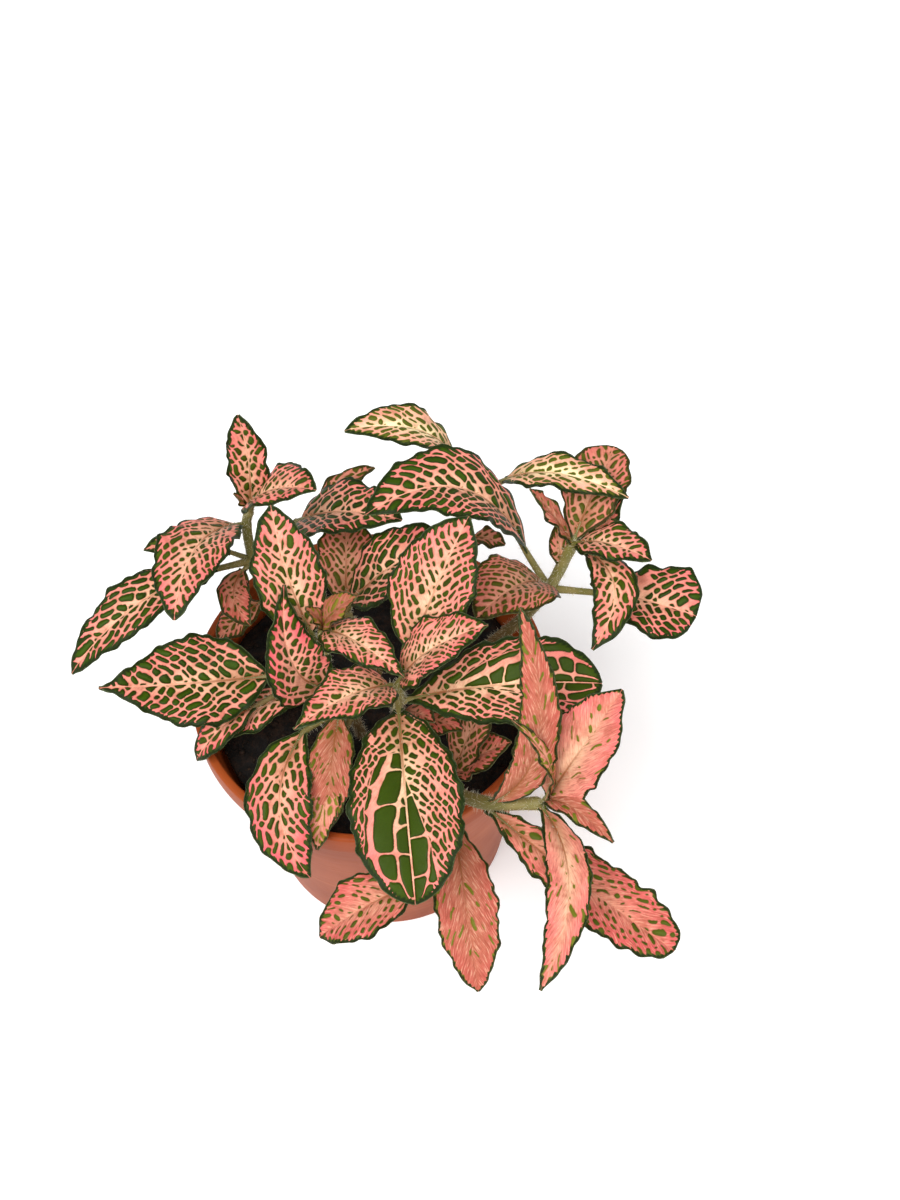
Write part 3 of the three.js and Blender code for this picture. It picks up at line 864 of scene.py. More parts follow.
@dataclass(frozen=True)
class UpperLeafFinish:
    """The leaf's upper face: a pink net over green cells inside a dark green margin, with painted shade
    at the cells' borders and on leaves that lie in shade, and a painted highlight along the edge.
    """

    cream: tuple = srgb(254, 228, 184)
    salmon: tuple = srgb(240, 165, 140)
    hot: tuple = srgb(240, 100, 110)
    dusky: tuple = srgb(142, 66, 50)
    shadow_rose: tuple = srgb(168, 88, 66)
    straw: tuple = srgb(244, 204, 170)
    leaf_green: tuple = srgb(56, 82, 2)
    # The deeper green is painted shade at each cell's border, besides darker random tone.
    deep_green: tuple = srgb(32, 48, 2)
    olive: tuple = srgb(118, 120, 34)
    margin_green: tuple = srgb(27, 40, 7)
    # Painted highlight: the pale grey-green drawn as a thin line along the leaf's edge.
    rim: tuple = srgb(116, 128, 84)
    stalk_tan: tuple = srgb(142, 86, 48)
    # Brown that bronzes buds and paints shade on leaves that lie in shade.
    umber_and_shade: tuple = srgb(116, 68, 22)
    lining: tuple = srgb(238, 212, 130)
    streak_scale: float = 1.5
    streaks_across: float = 3.6
    streaks_along: float = 0.35
    soft_scale: float = 0.2
    mottle_scale: float = 0.45
    grain_scale: float = 9.0
    tan_strength: float = 0.85
    roughness: float = 0.56
    relief: float = 0.0003

    def net_colour(
        self, tree: Tree, spot: LeafMap, lines: Number, soft: Number
    ) -> bpy.types.NodeSocket:
        """The net's colour: salmon, with cream near the midrib and hot pink farther out.

        Args:
            tree: The shader tree.
            spot: The leaf's map.
            lines: Noise drawn out along the side veins.
            soft: Noise that changes slowly over the leaf.

        Returns:
            The colour's socket.
        """
        share, along, streak = spot.share, spot.along, spot.streak
        halo = share.fall(0.0, 0.5) * (1.0 - along.rise(0.35, 0.9) * 0.8) * spot.cream
        halo = halo + spot.cream * 0.45 * lines.rise(0.45, 0.75) + (spot.cream - 0.6).larger(0.0)
        halo = halo.smaller(1.0)
        pink = tree.blend(halo, self.salmon, self.cream)
        warm = share * 0.7 + along * 0.6 + lines * 0.4 + soft * 0.4 - 0.92
        warm = warm * (0.7 + spot.rose * 1.3) + spot.rose * 0.25
        pink = tree.blend(warm.clamped(), pink, self.hot)
        pink = tree.blend((streak - 0.6).larger(0.0) * 1.9, pink, self.shadow_rose)
        mottle = tree.noise(spot.place, self.mottle_scale, 3.0, 0.6)
        pink = tree.blend(mottle.rise(0.45, 0.75) * 0.6, pink, self.shadow_rose)
        pink = tree.blend(lines.rise(0.50, 0.68) * streak * 0.42, pink, self.straw)
        pink = tree.blend(lines.fall(0.34, 0.50) * streak * 0.6, pink, self.dusky)
        lining = tree.blend(halo, self.dusky, self.lining)
        pink = tree.blend(spot.depth.rise(-0.16, 0.0) * 0.42, pink, lining)
        line = spot.reach.fall(spot.rib_half * 0.5, spot.rib_half * 1.1) * along.fall(0.15, 0.75)
        pink = tree.blend(line * self.tan_strength, pink, self.stalk_tan)
        fan = along.fall(0.03, 0.42) * share.fall(0.1, 0.8)
        return tree.blend(fan * self.tan_strength, pink, self.stalk_tan)

    def cell_colour(self, tree: Tree, spot: LeafMap, soft: Number) -> bpy.types.NodeSocket:
        """The green of the cells and the margin, with painted shade deepening it near a cell's border.

        Args:
            tree: The shader tree.
            spot: The leaf's map.
            soft: Noise that changes slowly over the leaf.

        Returns:
            The colour's socket.
        """
        # Painted shade deepens the green towards each cell's border; the per-cell and slow noise give
        # random tone.
        shade_and_tone = (0.75 - spot.depth * 1.6 + spot.tint * 0.5 + soft * 0.5 - 0.25).clamped()
        shade_and_tone = shade_and_tone.larger(spot.big * (0.25 + soft * 0.6))
        green = tree.blend(shade_and_tone, self.leaf_green, self.deep_green)
        green = tree.blend(spot.olive, green, self.olive)
        return tree.blend(1.0 - spot.taper, green, self.margin_green)

    def make(self) -> bpy.types.Material:
        """Builds the material.

        Returns:
            The material.
        """
        coat = Coat("leaf_upper")
        tree = coat.tree
        spot = LeafPattern().read(tree)
        streaks = tree.point(spot.bed * self.streaks_across + spot.start, spot.run * self.streaks_along)
        lines = tree.noise(streaks, self.streak_scale, 3.0, 0.6)
        soft = tree.noise(spot.place, self.soft_scale, 1.0)
        grain = tree.noise(spot.place, self.grain_scale, 2.0, 0.7)
        pink = self.net_colour(tree, spot, lines, soft)
        colour = tree.blend(spot.cells, pink, self.cell_colour(tree, spot, soft))
        # Browning: bronze on buds, and painted shade that darkens leaves lying in shade.
        browned_and_shaded = tree.blend(0.72, colour, self.umber_and_shade)
        colour = tree.blend(spot.umber_and_shade * (1.0 - spot.cells * 0.6), colour, browned_and_shaded)
        # Painted highlight: a thin pale line along the leaf's edge.
        rim = spot.edge.fall(0.03, 0.13) * (0.3 + spot.shake * 1.2)
        colour = tree.blend(rim.larger(0.0), colour, self.rim)
        puff = spot.depth.rise(-0.1, 0.4) * spot.edge.rise(0.2, 1.4) * (1.0 - spot.midrib)
        coat.paint(colour, self.roughness - spot.cells * 0.10 + grain * 0.1)
        coat.emboss(puff + grain * 0.16 + lines * spot.streak * 0.4, 0.6, self.relief)
        coat.shine(0.12)
        coat.scatter(0.05, (1.0, 0.4, 0.2), 0.0002)
        return coat.material


@dataclass(frozen=True)
class UnderLeafFinish:
    """The leaf's under face: paler and duller, with the net showing faintly through."""

    net: tuple = srgb(196, 132, 104)
    cell: tuple = srgb(116, 124, 62)
    margin_green: tuple = srgb(66, 82, 42)
    # Brown that bronzes buds and paints shade on leaves that lie in shade.
    umber_and_shade: tuple = srgb(136, 84, 50)
    rib: tuple = srgb(188, 164, 112)
    grain_scale: float = 7.0
    roughness: float = 0.58
    relief: float = 0.0003

    def make(self) -> bpy.types.Material:
        """Builds the material.

        Returns:
            The material.
        """
        coat = Coat("leaf_under")
        tree = coat.tree
        spot = LeafPattern().read(tree)
        colour = tree.blend(spot.cells * 0.7, self.net, self.cell)
        colour = tree.blend(1.0 - spot.taper, colour, self.margin_green)
        colour = tree.blend(spot.midrib * 0.8, colour, self.rib)
        # Browning: bronze on buds, and painted shade that darkens leaves lying in shade.
        colour = tree.blend(spot.umber_and_shade * 0.7, colour, self.umber_and_shade)
        grain = tree.noise(spot.place, self.grain_scale, 2.0, 0.7)
        coat.paint(colour, self.roughness + grain * 0.15)
        dent = spot.depth.rise(-0.1, 0.3) * spot.edge.rise(0.2, 1.2)
        coat.emboss(grain * 0.3 - dent, 0.5, self.relief)
        coat.shine(0.2)
        coat.scatter(0.12, (1.0, 0.4, 0.2), 0.0005)
        return coat.material


@dataclass(frozen=True)
class FloorFinish:
    """A plain pale studio floor with a barely seen grain."""

    pale: tuple = (0.93, 0.93, 0.93, 1.0)
    shade: tuple = (0.91, 0.91, 0.91, 1.0)
    glow: float = 0.16

    def make(self) -> bpy.types.Material:
        """Builds the material.

        Returns:
            The material.
        """
        coat = Coat("studio_floor")
        patches = coat.tree.noise(coat.tree.object_place(), 3.0, 2.0)
        coat.paint(coat.tree.blend(patches, self.pale, self.shade), 0.75 + patches * 0.1)
        coat.shader.inputs["Emission Color"].default_value = (1.0, 1.0, 1.0, 1.0)
        coat.shader.inputs["Emission Strength"].default_value = self.glow
        return coat.material


def made(finish: object) -> bpy.types.Material:
    """A dataclass field that holds the material of a finish."""
    return field(default_factory=finish.make)


@dataclass
class Finishes:
    """Every finish of the plant, made once."""

    pot: bpy.types.Material = made(PotFinish())
    soil: bpy.types.Material = made(SoilFinish())
    crumb: bpy.types.Material = made(SoilFinish(name="peat_crumb", lightness=0.16))
    stem: bpy.types.Material = made(StemFinish())
    hair: bpy.types.Material = made(HairFinish())
    upper: bpy.types.Material = made(UpperLeafFinish())
    under: bpy.types.Material = made(UnderLeafFinish())


# Meshes
def new_piece(
    name: str, points: np.ndarray, faces: np.ndarray | list, edges: np.ndarray | list = ()
) -> bpy.types.Object:
    """Makes a mesh object from points in millimetres.

    Args:
        name: The object's name.
        points: The points, one row each.
        faces: The faces' corners.
        edges: Loose edges, for a path.

    Returns:
        The object, linked to the scene, at the origin.
    """
    corners = faces.tolist() if isinstance(faces, np.ndarray) else list(faces)
    pairs = np.asarray(edges, int).reshape(-1, 2).tolist()
    mesh = bpy.data.meshes.new(name)
    mesh.from_pydata((np.asarray(points, float) * MM).tolist(), pairs, corners)
    mesh.update()
    piece = bpy.data.objects.new(name, mesh)
    bpy.context.scene.collection.objects.link(piece)
    return piece


def smooth(piece: bpy.types.Object) -> None:
    """Shades every face of a piece smoothly."""
    flags = np.ones(len(piece.data.polygons), bool)
    piece.data.polygons.foreach_set("use_smooth", flags)


def give_attribute(mesh: bpy.types.Mesh, name: str, values: np.ndarray) -> None:
    """Stores one number or vector at each point of a mesh.

    Args:
        mesh: The mesh.
        name: The attribute's name.
        values: One row for each point.
    """
    values = np.asarray(values, np.float32)
    kind = "FLOAT" if values.ndim == 1 else "FLOAT_VECTOR"
    attribute = mesh.attributes.new(name, kind, "POINT")
    attribute.data.foreach_set("value" if kind == "FLOAT" else "vector", values.ravel())


def curve_points(path: np.ndarray, places: np.ndarray) -> np.ndarray:
    """Points on the smooth centripetal curve through a path, as the part's stems have.

    Args:
        path: The points it passes through.
        places: Where along it, one unit from each point to the next.

    Returns:
        One point for each place.
    """
    path = np.asarray(path, float)
    last = len(path) - 1
    padded = np.vstack([2 * path[0] - path[1], path, 2 * path[last] - path[last - 1]])
    found = []
    for place in np.clip(places, 0, last):
        start = min(int(place), last - 1)
        share = place - start
        before, here, there, after = padded[start:start + 4]
        first, middle, end = (
            np.linalg.norm(b - a) ** 0.5 for a, b in ((before, here), (here, there), (there, after))
        )
        leave = ((here - before) / first - (there - before) / (first + middle)
                 + (there - here) / middle) * middle
        arrive = ((there - here) / middle - (after - here) / (middle + end)
                  + (after - there) / end) * middle
        square = -3 * here + 3 * there - 2 * leave - arrive
        cube = 2 * here - 2 * there + leave + arrive
        found.append(here + leave * share + square * share ** 2 + cube * share ** 3)
    return np.array(found)


def unit(vectors: np.ndarray) -> np.ndarray:
    """Each vector made one long."""
    return vectors / np.linalg.norm(vectors, axis=-1, keepdims=True)


def ring(radius: float, height: float, sides: int) -> list[tuple[float, float, float]]:
    """Points round a level circle about the pot's axis."""
    turns = 2 * np.pi * np.arange(sides) / sides
    return [(radius * np.cos(turn), radius * np.sin(turn), height) for turn in turns]


@dataclass
class Blade:
    """The fine blade of one leaf: its surface, its edge and what its finish reads.

    Sizes are in millimetres. `t` is a place along the midrib, from 0 to 1, and `u` a place across
    the blade, from -1 at its right edge to 1 at its left. A pair of rows, as `giant_strip` has, is
    a curve: places first, then values.
    """

    leaf: Leaf
    root: np.ndarray
    seed: int
    cell_along: float = 0.36
    cell_across: float = 0.30
    row_limits: tuple[int, int] = (14, 96)
    half_column_limits: tuple[int, int] = (4, 32)
    thickness: float = 0.42
    rim_thickness: float = 0.16
    thin_edge: float = 0.5
    base_half_width: float = 0.75
    tip_half_width: float = 0.2
    scallops: tuple = ((0.22, 6.1), (0.16, 2.9))
    tooth_height: float = 0.16
    tooth_pair: float = 3.4
    torn_depth: float = 0.45
    torn_step: float = 3.7
    torn_from: float = 0.6
    waves: float = 2.5
    wave_shift: float = 1.3
    ripple_height: float = 0.16
    ripple_step: float = 3.6
    bulge: float = 0.05
    vein_reach: float = 0.48
    longest_vein: float = 12.0
    vein_leave: float = 1.35
    vein_arrive: float = 0.8
    steepest_vein: float = 1.05
    fan_radius: float = 6.0
    fan_start: float = 3.0
    giant_midrib: tuple = ((0.35, 0.55, 0.75, 1.0), (-0.2, 1.6, 3.2, 4.0))
    giant_strip: tuple = ((0.3, 0.6, 0.8, 1.0), (3.6, 2.2, 0.6, -1.5))
    giant_from: float = 0.26
    giant_slant: float = 0.35
    groove_half_width: float = 0.38
    groove_top: float = 0.14
    groove_under: float = 0.26
    puff_top: float = 0.10
    puff_under: float = 0.08
    puff_step: float = 1.3
    stalk_steps: int = 17
    stalk_radii: tuple = ((0, 0.4, 1, 2, 3, 4), (0.75, 0.58, 0.52, 0.42, 0.32, 0.12))

    def __post_init__(self) -> None:
        """Works out the leaf's axes, as the part does."""
        leaf = self.leaf
        heading, rise, roll, swing = np.radians([leaf.heading, leaf.rise, leaf.roll, leaf.swing])
        self.along = np.array([
            np.cos(heading) * np.cos(rise), np.sin(heading) * np.cos(rise), np.sin(rise),
        ])
        level = np.array([-np.sin(heading), np.cos(heading), 0.0])
        upright = np.cross(self.along, level)
        self.across = level * np.cos(roll) + upright * np.sin(roll)
        self.out = np.cross(self.along, self.across)
        way = self.tangent(np.array([0.0]))[0]
        way = np.array([
            way[0] * np.cos(swing) - way[1] * np.sin(swing),
            way[0] * np.sin(swing) + way[1] * np.cos(swing),
            way[2],
        ])
        self.base = self.root + way * leaf.stalk
        self.phases = np.random.default_rng(self.seed).uniform(0, 2 * np.pi, (2, 6))

    def tangent(self, t: np.ndarray) -> np.ndarray:
        """The midrib's direction at places along it.

        Args:
            t: Places along the midrib.

        Returns:
            One unit vector for each.
        """
        lean = (4 * (1 - 2 * t))[..., None]
        sideways = self.out * self.leaf.arch + self.across * self.leaf.bow
        return unit(self.along * self.leaf.length + sideways * lean)

    def midrib(self, t: np.ndarray) -> np.ndarray:
        """The midrib's points at places along it.

        Args:
            t: Places along the midrib.

        Returns:
            One point for each.
        """
        lift = (4 * t * (1 - t))[..., None]
        sideways = self.out * self.leaf.arch + self.across * self.leaf.bow
        return self.base + self.along * self.leaf.length * t[..., None] + sideways * lift

    def half_width(self, t: np.ndarray) -> np.ndarray:
        """Half the blade's width at places along the midrib, as the part has it.

        Args:
            t: Places along the midrib.

        Returns:
            The half width at each.
        """
        leaf = self.leaf
        near = leaf.blunt * leaf.widest / (1 - leaf.widest)
        top = leaf.widest ** near * (1 - leaf.widest) ** leaf.blunt
        half = 0.5 * leaf.width * t ** near * (1 - t) ** leaf.blunt / top
        least = self.base_half_width + (self.tip_half_width - self.base_half_width) * t
        return np.maximum(half, np.minimum(least, 0.25 * leaf.width))

    def ripple(self, t: np.ndarray, step: float, phase: np.ndarray | float) -> np.ndarray:
        """A sine along the leaf, with one wave to each step."""
        return np.sin(2 * np.pi * t * self.leaf.length / step + phase)

    def crenation(self, t: np.ndarray, side: int) -> np.ndarray:
        """How far the edge's scallops and teeth stand out along one side.

        Args:
            t: Places along the midrib.
            side: 0 for the left half and 1 for the right.

        Returns:
            The distance at each place.
        """
        phase = self.phases[side]
        size = min(1.0, self.leaf.width / 10)
        wave = sum(
            height * self.ripple(t, step, start) for (height, step), start in zip(self.scallops, phase)
        )
        wave = wave + self.tooth_height * np.abs(self.ripple(t, self.tooth_pair, phase[2]))
        torn = self.ripple(t, self.torn_step, phase[3]) * np.clip((t - self.torn_from) / 0.3, 0, 1)
        wave = wave * size + self.torn_depth * self.leaf.ragged * torn
        return wave * np.sin(np.pi * np.clip(t, 0, 1)) ** 0.3

    def surface(self, t: np.ndarray, u: np.ndarray) -> np.ndarray:
        """The points of the blade's middle surface.

        Args:
            t: Places along the midrib.
            u: Places from edge to edge.

        Returns:
            The points, a grid.
        """
        leaf = self.leaf
        far = np.abs(u)
        tangent = self.tangent(t)
        side = unit(self.across - tangent * (tangent @ self.across)[..., None])
        out = np.cross(tangent, side)
        half = self.half_width(t)
        scallop = np.where(u > 0, self.crenation(t, 0), self.crenation(t, 1))
        reach = far * half + scallop * far ** 3
        fold = np.radians(leaf.fold)
        phase = 2 * np.pi * self.waves * t + np.where(u > 0, self.wave_shift, 0.0)
        lift = reach * np.sin(fold) + leaf.wave * far ** 3 * np.sin(phase) * np.sin(np.pi * t)
        start = np.where(u > 0, self.phases[0, 4], self.phases[1, 4])
        lift += self.ripple_height * far ** 4 * self.ripple(t, self.ripple_step, start)
        lift += self.bulge * half * np.sin(np.pi * far)
        points = self.midrib(t) + side * (np.sign(u) * reach * np.cos(fold))[..., None]
        return points + out * lift[..., None]

    def veins(self, t: np.ndarray, u: np.ndarray) -> tuple[np.ndarray, np.ndarray]:
        """Where a point lies among the side veins.

        Args:
            t: Places along the midrib.
            u: Places from edge to edge.

        Returns:
            How far along the midrib its vein starts, measured across the veins, and how far
            the point is in the veins' direction.
        """
        length = self.leaf.length
        half_top = 0.5 * self.leaf.width
        angle = math.atan2(half_top, min(self.vein_reach * length, self.longest_vein))
        leave = 1 / math.tan(min(angle * self.vein_leave, self.steepest_vein))
        arrive = 1 / math.tan(angle * self.vein_arrive)
        across = np.abs(u) * self.half_width(t)
        advance = across * (leave + (arrive - leave) * across / half_top / 2)
        bed = (t * length - advance) * math.sin(angle)
        run = np.hypot(across, advance)
        fanned = bed * self.fan_radius / np.maximum(run, self.fan_start)
        onward = t * length * math.cos(angle) + across * math.sin(angle)
        return np.where(bed < 0, fanned, bed), onward

    def giant_share(self, t: np.ndarray, u: np.ndarray) -> np.ndarray:
        """How far a point is inside the leaf's very large cells, which one half has.

        Args:
            t: Places along the midrib.
            u: Places from edge to edge.

        Returns:
            One half on their border, rising by one over the border's scale.
        """
        if self.leaf.coarse is Coarse.NONE:
            return np.zeros_like(t)
        reach = self.half_width(t)
        toward = u * reach * self.leaf.coarse.value
        beyond = np.interp(t, *self.giant_midrib)
        strip = np.interp(t, *self.giant_strip)
        inside = np.minimum(toward + beyond, (1 - np.abs(u)) * reach - strip)
        start = (t - self.giant_from) * self.leaf.length - self.giant_slant * toward
        return np.clip(np.minimum(inside, start) / LeafPattern.seam_scale + 0.5, 0, 1)

    def edge_distance(self, t: np.ndarray, u: np.ndarray) -> np.ndarray:
        """How far points of the blade's grid are from its edge.

        Args:
            t: Places along the midrib.
            u: Places from edge to edge.

        Returns:
            The distances, a grid.
        """
        rows = len(t) - 1
        half = self.half_width(t)
        slope = np.gradient(half[:, 0], axis=0)[:, None] * rows / self.leaf.length
        edge = (1 - np.abs(u)) * half / np.sqrt(1 + np.minimum(slope ** 2, 9))
        return np.minimum(edge, (1 - t) * self.leaf.length * 1.2)

    def relief(
        self, t: np.ndarray, across: np.ndarray, edge: np.ndarray, bed: np.ndarray
    ) -> tuple[np.ndarray, np.ndarray]:
        """How far the two faces stand off the middle surface.

        Args:
            t: Places along the midrib.
            across: Distances to the midrib.
            edge: Distances to the edge.
            bed: Places across the side veins.

        Returns:
            The distance of the upper and of the under face, with the midrib's groove and the
            raised beds between side veins.
        """
        inner = np.clip(edge / 1.2, 0, 1) * np.clip(across / 0.8, 0, 1)
        groove = np.exp(-(across / self.groove_half_width) ** 2)
        groove = groove * np.clip(self.leaf.width / 9, 0.3, 1) * (1 - 0.7 * t)
        step = self.leaf.tone.value.cell * self.puff_step
        puff = np.sin(np.pi * bed / step) ** 2 * inner
        top = self.thickness / 2 - self.groove_top * groove + self.puff_top * puff
        under = self.thickness / 2 + self.groove_under * groove - self.puff_under * puff
        rim = self.rim_thickness / 2
        thin = np.clip(edge / self.thin_edge, 0, 1)
        return rim + (top - rim) * thin, rim + (under - rim) * thin

    @staticmethod
    def stitch(rows: int, columns: int) -> tuple[np.ndarray, np.ndarray, np.ndarray]:
        """Joins the points of two grids and of the lip round them.

        Args:
            rows: How many cells a grid has along the leaf.
            columns: How many it has across.

        Returns:
            The faces, 1 for each face that is on the under side, and the grid's rim points.
        """
        count = (rows + 1) * (columns + 1)
        index = np.arange(count).reshape(rows + 1, columns + 1)
        a, b, c, d = index[:-1, :-1], index[1:, :-1], index[1:, 1:], index[:-1, 1:]
        upper = np.stack([a, b, c, d], -1).reshape(-1, 4)
        lower = np.stack([a, d, c, b], -1).reshape(-1, 4) + count
        rim = np.concatenate([index[0, :-1], index[:-1, -1], index[-1, :0:-1], index[:0:-1, 0]])
        ahead = np.roll(rim, -1)
        lip = 2 * count + np.arange(len(rim))
        lip_ahead = np.roll(lip, -1)
        lip_top = np.stack([rim, lip, lip_ahead, ahead], -1)
        lip_under = np.stack([lip, rim + count, ahead + count, lip_ahead], -1)
        sheets = (upper, lower, lip_top, lip_under)
        is_under = np.concatenate([np.full(len(sheet), k % 2) for k, sheet in enumerate(sheets)])
        return np.vstack(sheets), is_under, rim

    def build(self) -> tuple[np.ndarray, np.ndarray, np.ndarray, dict[str, np.ndarray]]:
        """Builds the blade's closed mesh.

        Returns:
            Its points, its faces, 1 for each face that is on the under side, and the values
            that its finish reads, by name.
        """
        leaf = self.leaf
        tone = leaf.tone.value
        rows = int(np.clip(round(leaf.length / self.cell_along), *self.row_limits))
        columns = 2 * int(np.clip(round(leaf.width / self.cell_across / 2), *self.half_column_limits))
        t, u = np.meshgrid(np.linspace(0, 1, rows + 1), np.linspace(-1, 1, columns + 1), indexing="ij")
        middle = self.surface(t, u)
        normal = unit(np.cross(np.gradient(middle, axis=0), np.gradient(middle, axis=1)))
        half = self.half_width(t)
        edge = self.edge_distance(t, u)
        bed, run = self.veins(t, u)
        top, under = self.relief(t, np.abs(u) * half, edge, bed)
        faces, is_under, rim = self.stitch(rows, columns)
        rim_points = middle.reshape(-1, 3)[rim]
        outward = unit(rim_points - self.midrib(t.reshape(-1)[rim]) + 1e-9)
        cloud = np.vstack([
            (middle + normal * top[..., None]).reshape(-1, 3),
            (middle - normal * under[..., None]).reshape(-1, 3),
            rim_points + outward * self.rim_thickness * 0.4,
        ])
        giant_bed = 0.45 * leaf.width * np.abs(u) + 0.25 * leaf.length * (1 - t) ** 2 + 0.5
        rib_half = (0.16 + leaf.width * 0.012) * (1.1 - 0.8 * t)
        grids = {
            "leaf_place": (bed, run, edge),
            "leaf_spot": (t, u * half, self.giant_share(t, u)),
            "leaf_tone": (tone.filled, tone.cream, tone.rose),
            "leaf_cells": (tone.cell, tone.stretch, tone.margin),
            "leaf_self": (tone.umber_and_shade, self.seed % 97, rib_half),
            "leaf_net": (tone.vein, tone.streak, tone.olive),
            "leaf_giant": (giant_bed, t * leaf.length, leaf.coarse_cell),
        }
        values = {}
        for name, parts in grids.items():
            sheet = np.stack([np.broadcast_to(part, t.shape) for part in parts], -1).reshape(-1, 3)
            values[name] = np.vstack([sheet, sheet, sheet[rim]])
        return cloud, faces, is_under, values

    def stalk_line(self) -> tuple[np.ndarray, np.ndarray]:
        """The stalk's line, run on under the midrib.

        Returns:
            Its points and its radius at each.
        """
        size = float(np.clip(self.leaf.width / 10, 0.45, 1.0))
        ends = np.array([0.05, 0.14, 0.28])
        under = self.midrib(ends) - self.out * np.array([[0.12], [0.15], [0.12]])
        path = np.vstack([self.root, self.base, under])
        places = np.linspace(0, len(path) - 1, self.stalk_steps)
        radius = np.interp(places, *self.stalk_radii)
        return curve_points(path, places), radius * (0.55 + 0.45 * size)


# Geometry node trees
@dataclass
class Grower:
    """A geometry tree with named inputs, run once on a piece and applied."""

    name: str
    inputs: dict[str, tuple[str, object]]

    def __post_init__(self) -> None:
        """Makes the empty tree with its inputs."""
        self.group = bpy.data.node_groups.new(self.name, "GeometryNodeTree")
        face = self.group.interface
        face.new_socket("Geometry", in_out="INPUT", socket_type="NodeSocketGeometry")
        self.sockets = {}
        for title, (kind, _) in self.inputs.items():
            socket = face.new_socket(title, in_out="INPUT", socket_type=f"NodeSocket{kind}")
            self.sockets[title] = socket.identifier
        face.new_socket("Geometry", in_out="OUTPUT", socket_type="NodeSocketGeometry")
        self.tree = Tree(self.group)
        self.start = self.tree.add("NodeGroupInput").outputs

    def random(self, low: object, high: object, seed: object = 0) -> bpy.types.NodeSocket:
        """Draws a number for each place, or a vector where the limits are vectors.

        Args:
            low: The lower limit.
            high: The upper limit.
            seed: What the draws start from.

        Returns:
            The number's or vector's socket.
        """
        kind, output = ("FLOAT_VECTOR", 0) if isinstance(low, tuple) else ("FLOAT", 1)
        values = {"Min": low, "Max": high, "Seed": seed}
        return self.tree.add("FunctionNodeRandomValue", {"data_type": kind}, values).outputs[output]

    def spread(
        self, mesh: bpy.types.NodeSocket, title: str, **more: bpy.types.NodeSocket
    ) -> bpy.types.bpy_prop_collection:
        """Scatters points over a mesh, as thickly as the named input says, and gives the outputs."""
        values = {"Mesh": mesh, "Density": self.start[title], "Seed": self.start["Seed"], **more}
        return self.tree.add("GeometryNodeDistributePointsOnFaces", None, values).outputs

    def copies(
        self, points: bpy.types.NodeSocket, shape: bpy.types.NodeSocket, **more: bpy.types.NodeSocket
    ) -> bpy.types.NodeSocket:
        """Sets a copy of a shape at each point."""
        values = {"Points": points, "Instance": shape, **more}
        return self.tree.add("GeometryNodeInstanceOnPoints", None, values).outputs[0]

    def painted(self, geometry: bpy.types.NodeSocket, title: str) -> bpy.types.NodeSocket:
        """Sets the material that the named input gives."""
        values = {"Geometry": geometry, "Material": self.start[title]}
        return self.tree.add("GeometryNodeSetMaterial", None, values).outputs[0]

    def end(self, geometry: bpy.types.NodeSocket) -> None:
        """Closes the tree with Realize Instances and the output."""
        real = self.tree.add("GeometryNodeRealizeInstances", None, {0: geometry})
        self.tree.add("NodeGroupOutput", None, {0: real.outputs[0]})

    def grow(self, piece: bpy.types.Object, changed: dict[str, object]) -> bpy.types.Object:
        """Runs the tree on a piece and keeps the result as its plain mesh.

        Args:
            piece: The object the tree starts from.
            changed: Inputs that differ from their usual values.

        Returns:
            The same object with its new mesh.
        """
        modifier = piece.modifiers.new(self.name, "NODES")
        modifier.node_group = self.group
        for title, (_, usual) in self.inputs.items():
            modifier[self.sockets[title]] = changed.get(title, usual)
        view = bpy.context.evaluated_depsgraph_get()
        mesh = bpy.data.meshes.new_from_object(piece.evaluated_get(view))
        piece.modifiers.remove(modifier)
        piece.data = mesh
        return piece


